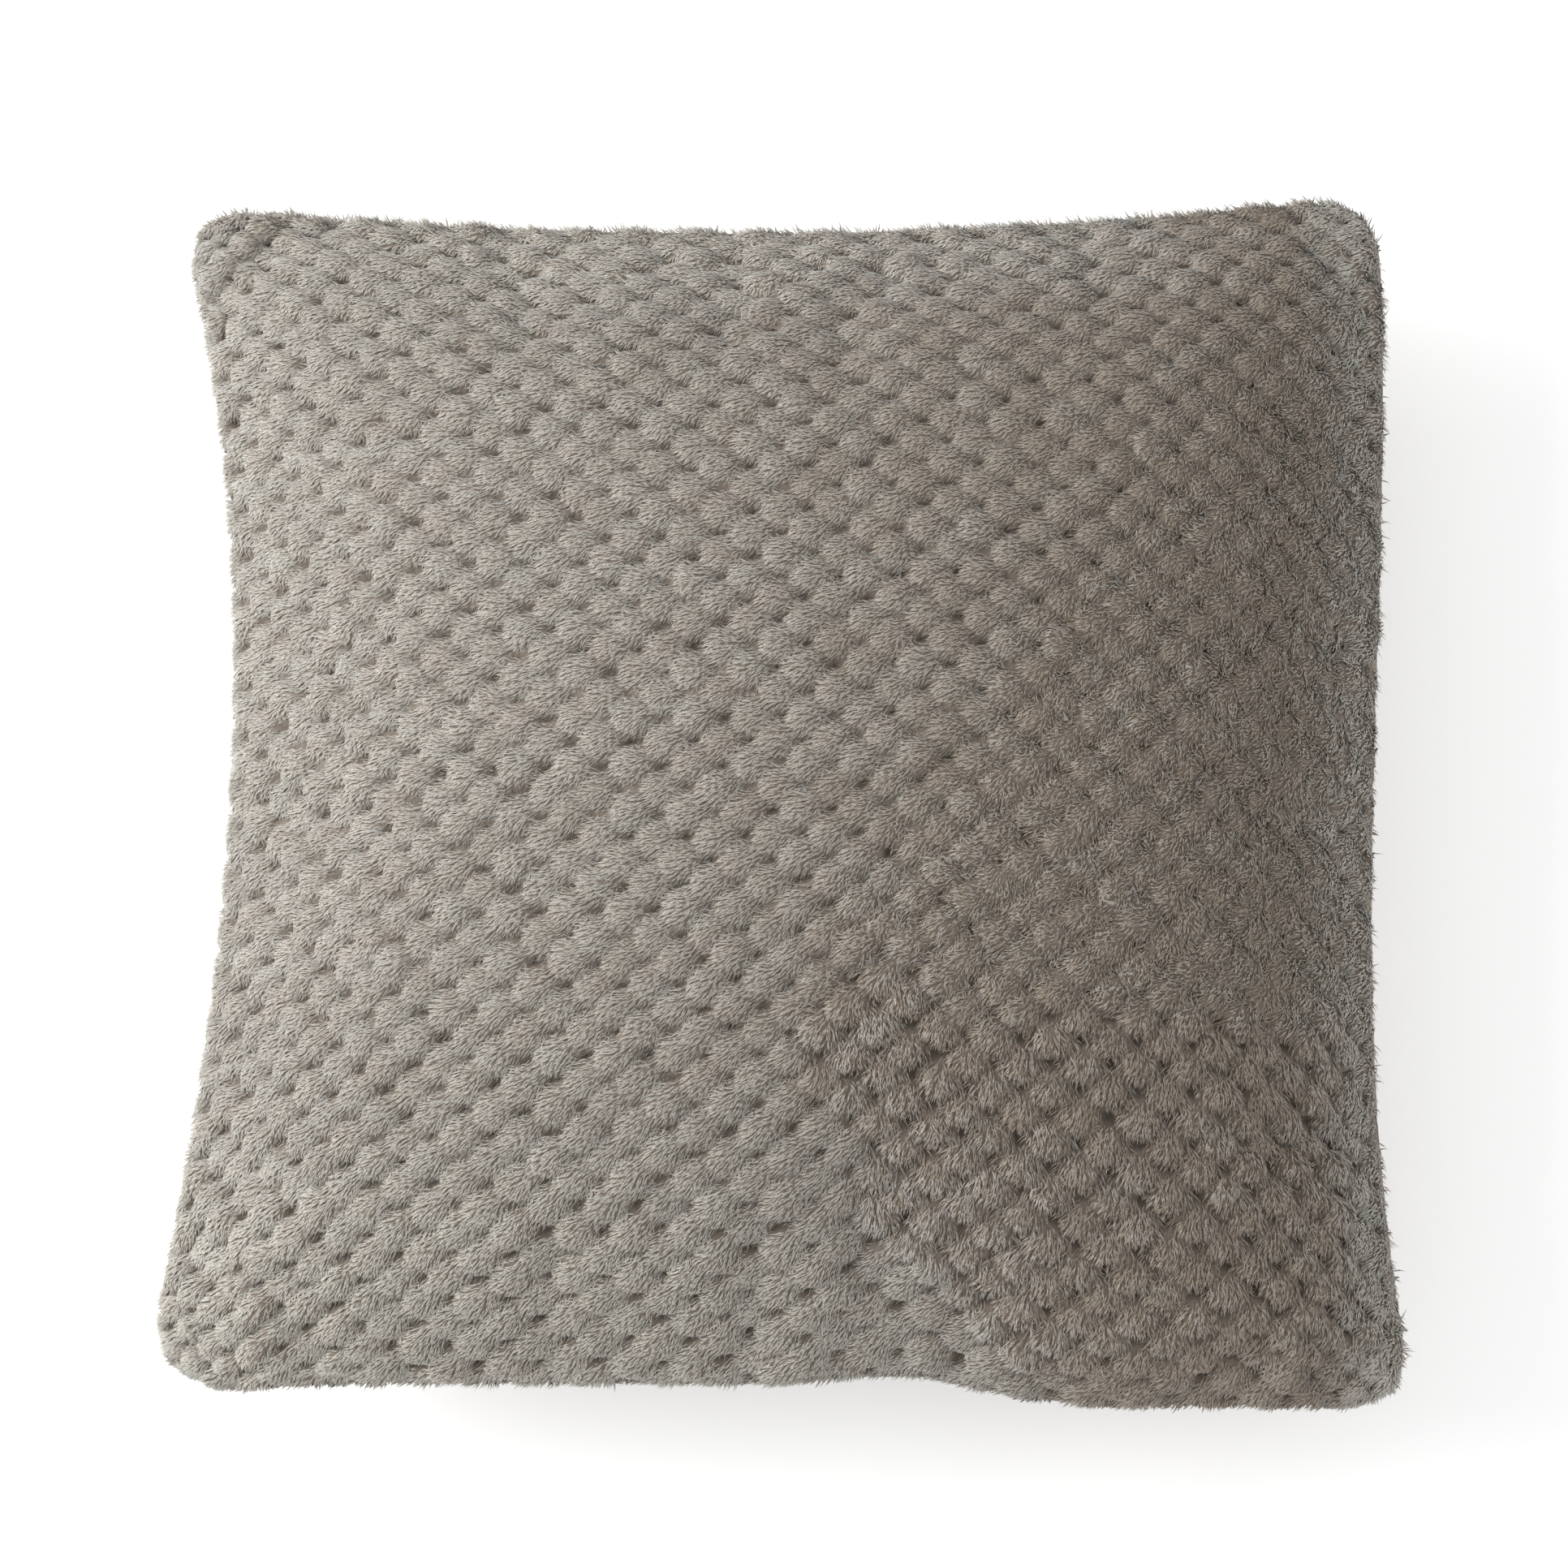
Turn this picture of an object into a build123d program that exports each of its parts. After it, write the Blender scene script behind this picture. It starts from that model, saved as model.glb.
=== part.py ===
from build123d import *
import os
from math import cos, pi, radians, sin

# A square knife-edge throw pillow, lying on its back: a plush cover with a hidden zip in its bottom seam,
# over an insert filled with fibre. +X is the pillow's width, +Y points to its top edge and +Z through its
# thickness, out of the front. The origin is the middle of the flat patch that it rests on.

# Driving dimensions, mm
SIDE = 450.0  # the finished cover, corner to corner
PULL_LEFT = 24.0  # how far the middle of each side draws in as the pillow fills out
PULL_RIGHT = 10.0
PULL_TOP = 11.0
PULL_BOTTOM = 7.0
CORNER_RADIUS = 15.0
FRONT_CROWN = 78.0  # height of the front above the plane of the seam
BACK_CROWN = 62.0
REST_FLAT = 1.5  # depth of the crown that is pressed flat where the pillow rests
RIM_ANGLE = radians(15)  # a larger angle gives a sharper knife edge

PLUSH_THICKNESS = 7.0  # base cloth and pile together
ALLOWANCE_WIDTH = 10.0  # turned-in seam allowance of the cover
ALLOWANCE_THICKNESS = 1.2
ALLOWANCE_ROOT = 0.5  # how far the allowance runs into the plush

INSERT_LIP_INSET = 18.5  # from the cover's outline to the edge of the insert's sewn lip
INSERT_INSET = 24.0
INSERT_CLOTH = 1.0
INSERT_LIP_THICKNESS = 0.8
INSERT_LIP_ROOT = 0.6  # how far the lip runs into the cloth
INSERT_GAP = 0.7  # between the insert and the cover at the crown
FILL_GAP = 0.6
CLOSING_LENGTH = 200.0  # the insert's hand opening, closed after it is filled
CLOSING_OVERLAP = 10.0  # the topstitch runs this far past each end of the opening

THREAD_RADIUS = 0.3
SEAM_THREAD_INSET = 12.0
INSERT_THREAD_INSET = 21.0
CLOSING_THREAD_INSET = 19.6
COVER_SEAM_CORNER = 18.0  # the sewing lines turn each corner on these radii
INSERT_SEAM_CORNER = 8.0
STITCH_ROW_END = 6.0  # the zip's stitching stops this far short of the ends of the tape
SEAM_ROW_END = 2.0  # the cover's seam stops this far beyond the ends of the zip opening

ZIP_SLOT_LENGTH = 364.0  # leaves room for the pull tab beyond the open slider
ZIP_SLOT_HALF_HEIGHT = 5.5
TAPE_LENGTH = 353.0
TAPE_THICKNESS = 0.6
TAPE_DEPTH = 9.8  # how far the folded part of each tape runs into the pillow
COIL_LENGTH = 340.0
COIL_DEPTH = 2.2
COIL_INNER_HEIGHT = 0.6  # half of the gap where the slider's post passes between the coils
COIL_OUTER_HEIGHT = 2.7
COIL_ROUNDING = 0.7
TAPE_EDGE_HEIGHT = 1.6  # from the seam plane to the woven edge under the coil
CHAIN_RECESS = 8.0  # from the seam line to the outer face of the chain
ZIP_ALLOWANCE_START = 8.0
ZIP_ALLOWANCE_DEPTH = 12.0
ZIP_STITCH_DEPTH = 17.5
STOP_GAP = 0.3
STOP_LENGTH = 2.5
STOP_RISE = 0.7  # how far a stop stands up past the coil
SMALL_ROUNDING = 0.4  # edges of the stops and bar tacks
BAR_TACK_LENGTH = 1.5
BAR_TACK_THICKNESS = 1.0
BAR_TACK_HALF_HEIGHT = 4.6

SLIDER_LENGTH = 12.0
SLIDER_REST_X = 163.5  # closed, at the right-hand end of the chain
PLATE_THICKNESS = 1.2
PLATE_HALF_WIDTH = 4.5
PLATE_REAR_TAPER = 0.3
PLATE_NOSE_TAPER = 1.5
PLATE_SHOULDER = 2.0  # from the nose to the widest place
PLATE_CORNER_RADIUS = 0.8
POST_LENGTH = 3.0
POST_X = 3.5  # the post and the rails are placed from the slider's middle
RAIL_WIDTH = 1.0
RAIL_LENGTH = 8.0
RAIL_X = -1.5
RAIL_CLEARANCE = 0.4  # to the coil beside it
RAIL_TAPE_GAP = 0.5
SLIDER_CLEARANCE = 0.3
BRIDGE_OPENING = 2.0
BRIDGE_BAR = 1.1
BRIDGE_WIDTH = 2.2
BRIDGE_LENGTH = 7.5
BRIDGE_FOOT = 1.0
BRIDGE_X = 0.25  # from the slider's middle
TAB_THICKNESS = 1.0
TAB_WIDTH = 6.0
TAB_LENGTH = 18.0
TAB_HEAD_RADIUS = 0.6  # of the round bar that swings under the bridge
TAB_WINDOW_LENGTH = 5.6
TAB_WINDOW_WIDTH = 3.4
TAB_WINDOW_RADIUS = 0.5
TAB_END_RADIUS = 0.9
GRIP_HOLE_LENGTH = 4.5
GRIP_HOLE_WIDTH = 2.0
GRIP_HOLE_FROM_END = 4.0
TAB_AXIS_X = 1.2  # from the slider's middle

# Worked out from the driving dimensions
SEAM_Z = BACK_CROWN - REST_FLAT
FRONT, BACK = 1, -1
MOUTH_Y = -(SIDE / 2 - PULL_BOTTOM)  # the seam line along the zip
TAPE_Y = CHAIN_RECESS + COIL_DEPTH  # depths behind the seam line, along +Y
PLATE_OUTER_Y = CHAIN_RECESS - SLIDER_CLEARANCE - PLATE_THICKNESS
PLATE_INNER_Y = TAPE_Y + TAPE_THICKNESS + SLIDER_CLEARANCE
TAB_AXIS_Y = PLATE_OUTER_Y - BRIDGE_OPENING / 2
PATCH_STEPS = 24
BOTTOM_SIDE_POWER = 8  # keeps the bottom side nearly straight along the zip


def rise(angle):
    """Share of the crown's height, 0 at a side and 1 in the middle."""
    return (sin(angle) - sin(RIM_ANGLE)) / (1 - sin(RIM_ANGLE))


def plan_point(across, along, inset):
    """Plan position in the outline drawn in by inset; across and along run from -1 to 1."""
    half = SIDE / 2 - inset
    side_bow = (PULL_LEFT * (1 - across) - PULL_RIGHT * (1 + across)) / 2
    bottom_bow = PULL_BOTTOM * (1 - across**BOTTOM_SIDE_POWER) * (1 - along) / 2
    top_bow = PULL_TOP * (1 - across**2) * (1 + along) / 2
    return across * half + side_bow * (1 - along**2), along * half + bottom_bow - top_bow


def dome(inset, crown, side):
    """Closed solid between the seam plane and a crowned sheet on the front or back side of it."""
    angles = [RIM_ANGLE + (pi - 2 * RIM_ANGLE) * step / PATCH_STEPS for step in range(PATCH_STEPS + 1)]
    places = [-cos(angle) / cos(RIM_ANGLE) for angle in angles]
    rows = []
    for along, along_angle in zip(places, angles):
        row = []
        for across, across_angle in zip(places, angles):
            share = rise(across_angle) * rise(along_angle)
            if side == BACK:
                share = 2 * share - share**2
            x, y = plan_point(across, along, inset)
            row.append((x, y, SEAM_Z + side * crown * share))
        rows.append(row)
    sheet = Face.make_surface_from_array_of_points(rows, tol=0.01, min_deg=3, max_deg=5)
    base = Face(Wire(sheet.edges()))
    return Solid(Shell([sheet, base]))


def crown_height(side):
    return FRONT_CROWN if side == FRONT else BACK_CROWN


def ring(outer_inset, inner_inset, thickness, side):
    """Flat band along the whole seam, between two insets, on one side of the seam plane."""
    band = extrude(outline_face(outer_inset), side * thickness, dir=(0, 0, 1))
    return band - extrude(outline_face(inner_inset), side * thickness, dir=(0, 0, 1))


def outline_face(inset):
    """Flat face of the cover's outline drawn in by inset, in the seam plane."""
    places = [-1 + 2 * step / PATCH_STEPS for step in range(PATCH_STEPS + 1)]
    sides = [
        [plan_point(place, -1, inset) for place in places],
        [plan_point(1, place, inset) for place in places],
        [plan_point(-place, 1, inset) for place in places],
        [plan_point(-1, -place, inset) for place in places],
    ]
    edges = [Edge.make_spline([(x, y, SEAM_Z) for x, y in side]) for side in sides]
    return Face(Wire(edges))


def envelope():
    """Block with rounded upright corners, standing on the rest plane, that trims the cover."""
    height = SEAM_Z + FRONT_CROWN + PLUSH_THICKNESS
    block = Pos(0, 0, height / 2) * Box(SIDE, SIDE, height)
    return fillet(block.edges().filter_by(Axis.Z), CORNER_RADIUS)


def zip_box(length, depth_from, depth_to, height_from, height_to, middle_x=0.0):
    """Block placed by its depth behind the seam line and its height from the seam plane."""
    block = Box(length, depth_to - depth_from, abs(height_to - height_from))
    middle_y = MOUTH_Y + (depth_from + depth_to) / 2
    return Pos(middle_x, middle_y, SEAM_Z + (height_from + height_to) / 2) * block


def cover_panel(side):
    """Plush shell with its turned-in seam allowance, open where the zip is set in."""
    crown = crown_height(side)
    panel = dome(0, crown, side) - dome(PLUSH_THICKNESS, crown - PLUSH_THICKNESS, side)
    allowance_end = PLUSH_THICKNESS + ALLOWANCE_WIDTH
    panel += ring(PLUSH_THICKNESS - ALLOWANCE_ROOT, allowance_end, ALLOWANCE_THICKNESS, side)
    slot_depth = ZIP_ALLOWANCE_START + ZIP_ALLOWANCE_DEPTH
    panel -= zip_box(ZIP_SLOT_LENGTH, -slot_depth, slot_depth, -ZIP_SLOT_HALF_HEIGHT, ZIP_SLOT_HALF_HEIGHT)
    panel += zip_box(
        ZIP_SLOT_LENGTH,
        ZIP_ALLOWANCE_START,
        slot_depth,
        side * ZIP_SLOT_HALF_HEIGHT,
        side * (ZIP_SLOT_HALF_HEIGHT + ALLOWANCE_THICKNESS),
    )
    return panel & envelope()


def insert_shell(side):
    """Thin cloth shell of the insert, with half of the flat lip where its seam is sewn."""
    crown = crown_height(side) - PLUSH_THICKNESS - INSERT_GAP
    shell = dome(INSERT_INSET, crown, side) - dome(INSERT_INSET + INSERT_CLOTH, crown - INSERT_CLOTH, side)
    lip_root = INSERT_INSET + INSERT_LIP_ROOT
    return shell + ring(INSERT_LIP_INSET, lip_root, INSERT_LIP_THICKNESS, side)


def fibre_fill():
    """Crowned mass of fibre that fills the insert."""
    inset = INSERT_INSET + INSERT_CLOTH + FILL_GAP
    lost_height = PLUSH_THICKNESS + INSERT_GAP + INSERT_CLOTH + FILL_GAP
    return dome(inset, FRONT_CROWN - lost_height, FRONT) + dome(inset, BACK_CROWN - lost_height, BACK)


def thread_along(path):
    """Round thread along a path of tangent arcs."""
    return sweep(Plane(origin=path @ 0, z_dir=path % 0) * Circle(THREAD_RADIUS), path=path)


def seam_path(inset, end_x, height, corner_radius):
    """Path of a seam round the left, top and right sides, from one end of the bottom opening to the other."""
    end = end_x / (SIDE / 2 - inset)
    end_middle = (1 + end) / 2
    stretches = [
        [(-end, -1), (-end_middle, -1), (-1, -1)],
        [(-1, -1), (-1, 0), (-1, 1)],
        [(-1, 1), (0, 1), (1, 1)],
        [(1, 1), (1, 0), (1, -1)],
        [(1, -1), (end_middle, -1), (end, -1)],
    ]
    edges = []
    for stretch in stretches:
        points = [(*plan_point(across, along, inset), SEAM_Z + height) for across, along in stretch]
        edges.append(Edge.make_three_point_arc(*points))
    wire = Wire(edges)
    corners = [vertex for vertex in wire.vertices() if abs(vertex.X) > end_x + THREAD_RADIUS]
    return wire.fillet_2d(corner_radius, corners)


def straight_thread(half_length, depth, height):
    """Thread parallel to the zip."""
    place = Pos(0, MOUTH_Y + depth, SEAM_Z + height) * Rot(0, 90, 0)
    return place * Cylinder(THREAD_RADIUS, 2 * half_length)


def insert_seam_thread():
    """Needle thread on one face of the insert's lip and bobbin thread on the other."""
    height = INSERT_LIP_THICKNESS + THREAD_RADIUS
    paths = [
        seam_path(INSERT_THREAD_INSET, CLOSING_LENGTH / 2, side * height, INSERT_SEAM_CORNER)
        for side in (FRONT, BACK)
    ]
    return Compound(children=[thread_along(path) for path in paths])


def insert_closing_thread():
    """Topstitch across the opening left for filling, on both faces of the lip."""
    height = INSERT_LIP_THICKNESS + THREAD_RADIUS
    half_length = CLOSING_LENGTH / 2 + CLOSING_OVERLAP
    pair = [straight_thread(half_length, CLOSING_THREAD_INSET, side * height) for side in (FRONT, BACK)]
    return Compound(children=pair)


def cover_seam_thread(side):
    """Needle thread on the front allowance, or bobbin thread on the back one."""
    height = ALLOWANCE_THICKNESS + THREAD_RADIUS
    end_x = ZIP_SLOT_LENGTH / 2 + SEAM_ROW_END
    return thread_along(seam_path(SEAM_THREAD_INSET, end_x, side * height, COVER_SEAM_CORNER))


def zip_tape(side):
    """Woven tape: a strip behind the coil, folded inward along the panel's allowance."""
    strip = zip_box(
        TAPE_LENGTH,
        TAPE_Y,
        TAPE_Y + TAPE_THICKNESS,
        side * TAPE_EDGE_HEIGHT,
        side * ZIP_SLOT_HALF_HEIGHT,
    )
    fold = zip_box(
        TAPE_LENGTH,
        TAPE_Y,
        TAPE_Y + TAPE_DEPTH,
        side * (ZIP_SLOT_HALF_HEIGHT - TAPE_THICKNESS),
        side * ZIP_SLOT_HALF_HEIGHT,
    )
    return strip + fold


def zip_coil(side):
    """Nylon coil sewn along the edge of one tape."""
    coil = zip_box(COIL_LENGTH, CHAIN_RECESS, TAPE_Y, side * COIL_INNER_HEIGHT, side * COIL_OUTER_HEIGHT)
    outer_edges = coil.edges().filter_by(Axis.X).sort_by(Axis.Y)[:2]
    return fillet(outer_edges, COIL_ROUNDING)


def zip_stitching(side):
    """The row that holds one tape to the allowance: a thread on each face of the two layers."""
    above = side * (ZIP_SLOT_HALF_HEIGHT + ALLOWANCE_THICKNESS + THREAD_RADIUS)
    below = side * (ZIP_SLOT_HALF_HEIGHT - TAPE_THICKNESS - THREAD_RADIUS)
    half_length = TAPE_LENGTH / 2 - STITCH_ROW_END
    pair = [straight_thread(half_length, ZIP_STITCH_DEPTH, height) for height in (above, below)]
    return Compound(children=pair)


def zip_stop(end, height_from, height_to):
    """Moulded stop past one end of the chain; end is 1 at the right and -1 at the left."""
    middle_x = end * (COIL_LENGTH / 2 + STOP_GAP + STOP_LENGTH / 2)
    stop = zip_box(STOP_LENGTH, CHAIN_RECESS, TAPE_Y, height_from, height_to, middle_x)
    return fillet(stop.edges().filter_by(Axis.Y), SMALL_ROUNDING)


def zip_bar_tack(end):
    """Tight bar of thread across both tapes at one end of the zip."""
    middle_x = end * (COIL_LENGTH / 2 + STOP_GAP + STOP_LENGTH + BAR_TACK_LENGTH)
    tack = zip_box(
        BAR_TACK_LENGTH,
        TAPE_Y - BAR_TACK_THICKNESS,
        TAPE_Y,
        -BAR_TACK_HALF_HEIGHT,
        BAR_TACK_HALF_HEIGHT,
        middle_x,
    )
    return fillet(tack.edges().filter_by(Axis.Z).sort_by(Axis.Y)[:2], SMALL_ROUNDING)


def slider_plate(depth_from):
    """Shield-shaped plate: wide at the shoulder, narrower where the closed chain leaves it."""
    half_length = SLIDER_LENGTH / 2
    rear_half_width = PLATE_HALF_WIDTH - PLATE_REAR_TAPER
    nose_half_width = PLATE_HALF_WIDTH - PLATE_NOSE_TAPER
    shoulder_x = half_length - PLATE_SHOULDER
    shape = Polygon(
        (-half_length, -rear_half_width),
        (shoulder_x, -PLATE_HALF_WIDTH),
        (half_length, -nose_half_width),
        (half_length, nose_half_width),
        (shoulder_x, PLATE_HALF_WIDTH),
        (-half_length, rear_half_width),
        align=None,
    )
    shape = fillet(shape.vertices(), PLATE_CORNER_RADIUS)
    upright = Plane(origin=(0, depth_from, 0), x_dir=(1, 0, 0), z_dir=(0, 1, 0))
    return extrude(upright * shape, PLATE_THICKNESS)


def zip_slider():
    """Two plates joined by the parting post, with guide rails on the outer one and a bridge for the tab."""
    gap_start = PLATE_OUTER_Y + PLATE_THICKNESS
    slider = slider_plate(PLATE_OUTER_Y) + slider_plate(PLATE_INNER_Y)
    post_half_thickness = COIL_INNER_HEIGHT - SLIDER_CLEARANCE
    post_depth = PLATE_INNER_Y - gap_start
    post = Box(POST_LENGTH, post_depth, 2 * post_half_thickness)
    slider += Pos(POST_X, gap_start + post_depth / 2, 0) * post
    rail_depth = TAPE_Y - RAIL_TAPE_GAP - gap_start
    rail_height = COIL_OUTER_HEIGHT + RAIL_CLEARANCE + RAIL_WIDTH / 2
    for side in (FRONT, BACK):
        rail = Box(RAIL_LENGTH, rail_depth, RAIL_WIDTH)
        slider += Pos(RAIL_X, gap_start + rail_depth / 2, side * rail_height) * rail
    slider += slider_bridge()
    return Pos(SLIDER_REST_X, MOUTH_Y, SEAM_Z) * slider


def slider_bridge():
    """Arch over the outer plate that the pull tab hangs from."""
    bridge_depth = BRIDGE_OPENING + BRIDGE_BAR
    arch = Box(BRIDGE_LENGTH, bridge_depth, BRIDGE_WIDTH)
    arch = Pos(BRIDGE_X, PLATE_OUTER_Y - bridge_depth / 2, 0) * arch
    outer_edges = arch.edges().filter_by(Axis.Z).sort_by(Axis.Y)[:2]
    arch = fillet(outer_edges, BRIDGE_BAR)
    opening = Box(BRIDGE_LENGTH - 2 * BRIDGE_FOOT, BRIDGE_OPENING, BRIDGE_WIDTH)
    return arch - Pos(BRIDGE_X, PLATE_OUTER_Y - BRIDGE_OPENING / 2, 0) * opening


def zip_pull_tab():
    """Flat tab that swings on a round bar under the bridge, with a grip hole near its rounded end."""
    blade = Pos(-TAB_LENGTH / 2, 0) * RectangleRounded(TAB_LENGTH, TAB_WIDTH, TAB_END_RADIUS)
    window = Rectangle(TAB_WINDOW_LENGTH, TAB_WINDOW_WIDTH)
    window = fillet(window.vertices(), TAB_WINDOW_RADIUS)
    blade -= Pos(-TAB_HEAD_RADIUS - TAB_WINDOW_LENGTH / 2, 0) * window
    blade -= Pos(GRIP_HOLE_FROM_END - TAB_LENGTH, 0) * SlotOverall(GRIP_HOLE_LENGTH, GRIP_HOLE_WIDTH)
    upright = Plane(origin=(0, -TAB_THICKNESS / 2, 0), x_dir=(1, 0, 0), z_dir=(0, 1, 0))
    tab = extrude(upright * blade, TAB_THICKNESS) + Cylinder(TAB_HEAD_RADIUS, TAB_WIDTH)
    return Pos(SLIDER_REST_X + TAB_AXIS_X, MOUTH_Y + TAB_AXIS_Y, SEAM_Z) * tab


def build_parts():
    """Every separate piece of the pillow, by the name of its node."""
    stop_height = COIL_OUTER_HEIGHT + STOP_RISE
    return {
        "cover_front_panel": cover_panel(FRONT),
        "cover_back_panel": cover_panel(BACK),
        "cover_seam_needle_thread": cover_seam_thread(FRONT),
        "cover_seam_bobbin_thread": cover_seam_thread(BACK),
        "zip_tape_front": zip_tape(FRONT),
        "zip_tape_back": zip_tape(BACK),
        "zip_coil_front": zip_coil(FRONT),
        "zip_coil_back": zip_coil(BACK),
        "zip_stitching_front": zip_stitching(FRONT),
        "zip_stitching_back": zip_stitching(BACK),
        "zip_top_stop_front": zip_stop(1, COIL_INNER_HEIGHT, stop_height),
        "zip_top_stop_back": zip_stop(1, -stop_height, -COIL_INNER_HEIGHT),
        "zip_bottom_stop": zip_stop(-1, -stop_height, stop_height),
        "zip_bar_tack_right": zip_bar_tack(1),
        "zip_bar_tack_left": zip_bar_tack(-1),
        "zip_slider": zip_slider(),
        "zip_pull_tab": zip_pull_tab(),
        "insert_front_shell": insert_shell(FRONT),
        "insert_back_shell": insert_shell(BACK),
        "insert_seam_thread": insert_seam_thread(),
        "insert_closing_thread": insert_closing_thread(),
        "fibre_fill": fibre_fill(),
    }


def main():
    os.makedirs("parts", exist_ok=True)
    for node, shape in build_parts().items():
        export_step(shape, f"parts/{node}.step")
        size = shape.bounding_box()
        print(f"{node}: {shape.volume:.1f} mm3, from {size.min} to {size.max}")


main()
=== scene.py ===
import math
import bpy
import numpy as np
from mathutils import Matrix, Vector


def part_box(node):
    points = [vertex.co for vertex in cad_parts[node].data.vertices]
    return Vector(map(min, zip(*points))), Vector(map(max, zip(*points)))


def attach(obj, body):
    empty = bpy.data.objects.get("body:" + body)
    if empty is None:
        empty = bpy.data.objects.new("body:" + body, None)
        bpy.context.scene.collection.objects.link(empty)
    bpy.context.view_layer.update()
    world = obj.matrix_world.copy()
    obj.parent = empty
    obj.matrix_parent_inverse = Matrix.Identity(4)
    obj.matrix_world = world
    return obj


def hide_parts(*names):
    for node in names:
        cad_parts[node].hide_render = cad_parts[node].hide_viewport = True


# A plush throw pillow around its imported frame. The pillow lies on its back: +X is its width, +Y points to
# its top edge and +Z out of its front. Lengths are in metres and angles in radians. A place in a panel's
# cloth is given by its distances s from the left seam and t from the bottom seam.

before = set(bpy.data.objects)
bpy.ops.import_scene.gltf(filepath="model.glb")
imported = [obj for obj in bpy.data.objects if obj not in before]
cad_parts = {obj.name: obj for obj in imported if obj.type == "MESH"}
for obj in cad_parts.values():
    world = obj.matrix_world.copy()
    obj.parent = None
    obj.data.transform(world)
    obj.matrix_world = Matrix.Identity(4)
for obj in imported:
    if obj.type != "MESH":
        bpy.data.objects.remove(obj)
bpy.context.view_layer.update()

MM = 0.001
FRONT, BACK = 1, -1

# ---- Shape of the cover ----
front_low, front_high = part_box("cover_front_panel")
back_low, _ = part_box("cover_back_panel")
SEAM_Z = front_low.z
REST_FLAT = 1.5 * MM
SETTLE_RISE = 3.5 * MM  # the cloth swells by about this much while it settles
CROWN = {FRONT: front_high.z - SEAM_Z - SETTLE_RISE, BACK: SEAM_Z - back_low.z + REST_FLAT - SETTLE_RISE}
HALF_SIDE = 225 * MM
RIM_ANGLE = math.radians(15)
PULL_LEFT, PULL_RIGHT, PULL_TOP, PULL_BOTTOM = 26 * MM, 8.2 * MM, 11.8 * MM, 7.4 * MM
LEFT_SKEW = 0.17  # moves the deepest place of the drawn-in left side up
RIGHT_SKEW = -1.5
BOTTOM_SIDE_POWER = 8
BOTTOM_FULL_FROM, BOTTOM_FULL_TO = 0.18, 0.55  # beyond these the lower right corner fills the side out
DIMPLE_DEPTH, DIMPLE_PLACE, DIMPLE_WIDTH = 3.2 * MM, 0.18, 0.11
CORNER_RADIUS = 27 * MM
BLUNT_CORNER_RADIUS = 40 * MM  # of the lower left corner
CORNER_SHIFT = {  # how the four corners lie, by their side across and along
    (-1, -1): (-3.8 * MM, 0.6 * MM),
    (1, -1): (2.1 * MM, -0.1 * MM),
    (-1, 1): (-0.6 * MM, -3.1 * MM),
    (1, 1): (-0.2 * MM, 1.1 * MM),
}
OUTLINE_SAMPLES = 4001

# ---- Settling of the cloth ----
SIM_CELLS = 66  # cells across a panel while its cloth settles
FINER, INSERT_FINER, FILL_FINER = 4, 3, 2  # each settled cell becomes this many cells a side
SIM_FRAMES = 20
SIM_CAP = 5 * MM
CLOTH_OVER_FLOOR = 2.2 * MM  # the pile under it is pressed this flat where the pillow rests
CLOTH_GROWTH = 0.012  # share by which the cloth is larger than the form that it settles from
CLOTH_SETTINGS = {
    "quality": 6,
    "mass": 0.25,
    "tension_stiffness": 20,
    "compression_stiffness": 20,
    "shear_stiffness": 8,
    "bending_stiffness": 0.6,
    "use_pressure": True,
    "uniform_pressure_force": 4,
}
BACK_TUCK = 1.6 * MM  # how far the front's edge stands out over the back's

# ---- Tufts ----
PILE_DEPTH = 5.5 * MM  # from the base cloth to the outer face of the combed pile
TUFT_WIDTH = 19.6 * MM
TUFT_PITCH = 16.4 * MM  # up the cloth; the tufts in the rows between are half a width across
TUFT_REACH_S, TUFT_REACH_T = 8.45 * MM, 7.8 * MM
TUFT_SQUARENESS = 2.3  # 2 would be a round tuft; more lets it touch its four neighbours
TUFT_FULLNESS = 1.2  # more makes the top of a tuft flatter and its sides steeper
TUFT_RISE = 4.8 * MM
TUFT_TILT = 0.12
SHINGLE_TILT = 0.5  # more tilt where the tufts hang down over one another
HANGING_NARROWER = 0.06  # share by which those tufts are narrower
TUFT_SWAY = 0.9 * MM
TUFT_SHIFT_S, TUFT_SHIFT_T = 1.5 * MM, 1.05 * MM
TUFT_UNEVEN = 0.14
MERGED_HEIGHT = 2.7 * MM  # the pile closes over the pits where it is ruffled
PACKED_HEIGHT = 0.86  # share of a tuft's height that its packed middle fills
PACKED_OVER_FLOOR = 1.2 * MM
EDGE_FADE = -3 * MM, 8 * MM  # from the seams, over which the tufts gain their height
PIT_EDGE = 1.6 * MM  # the pile starts where a tuft stands this high
PIT_COVER = 0.4  # share by which it starts lower where it hangs down
ROW_TILT = 0.015
ROW_ARCH = 3 * MM
ROW_STRETCH = 0.035  # how much wider apart the rows are near the top and bottom seams

# ---- Combing ----
COMB_SIDEWAYS, COMB_DOWN = math.radians(203), math.radians(262)
COMB_DROOP = math.radians(20)  # how much more the pile turns down near the bottom seam
COMB_WANDER, COMB_RIPPLE, RUFFLED_RIPPLE = 0.12, 0.1, 0.5
RUFFLED_TURN = 0.3  # share of the way to hanging down
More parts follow.
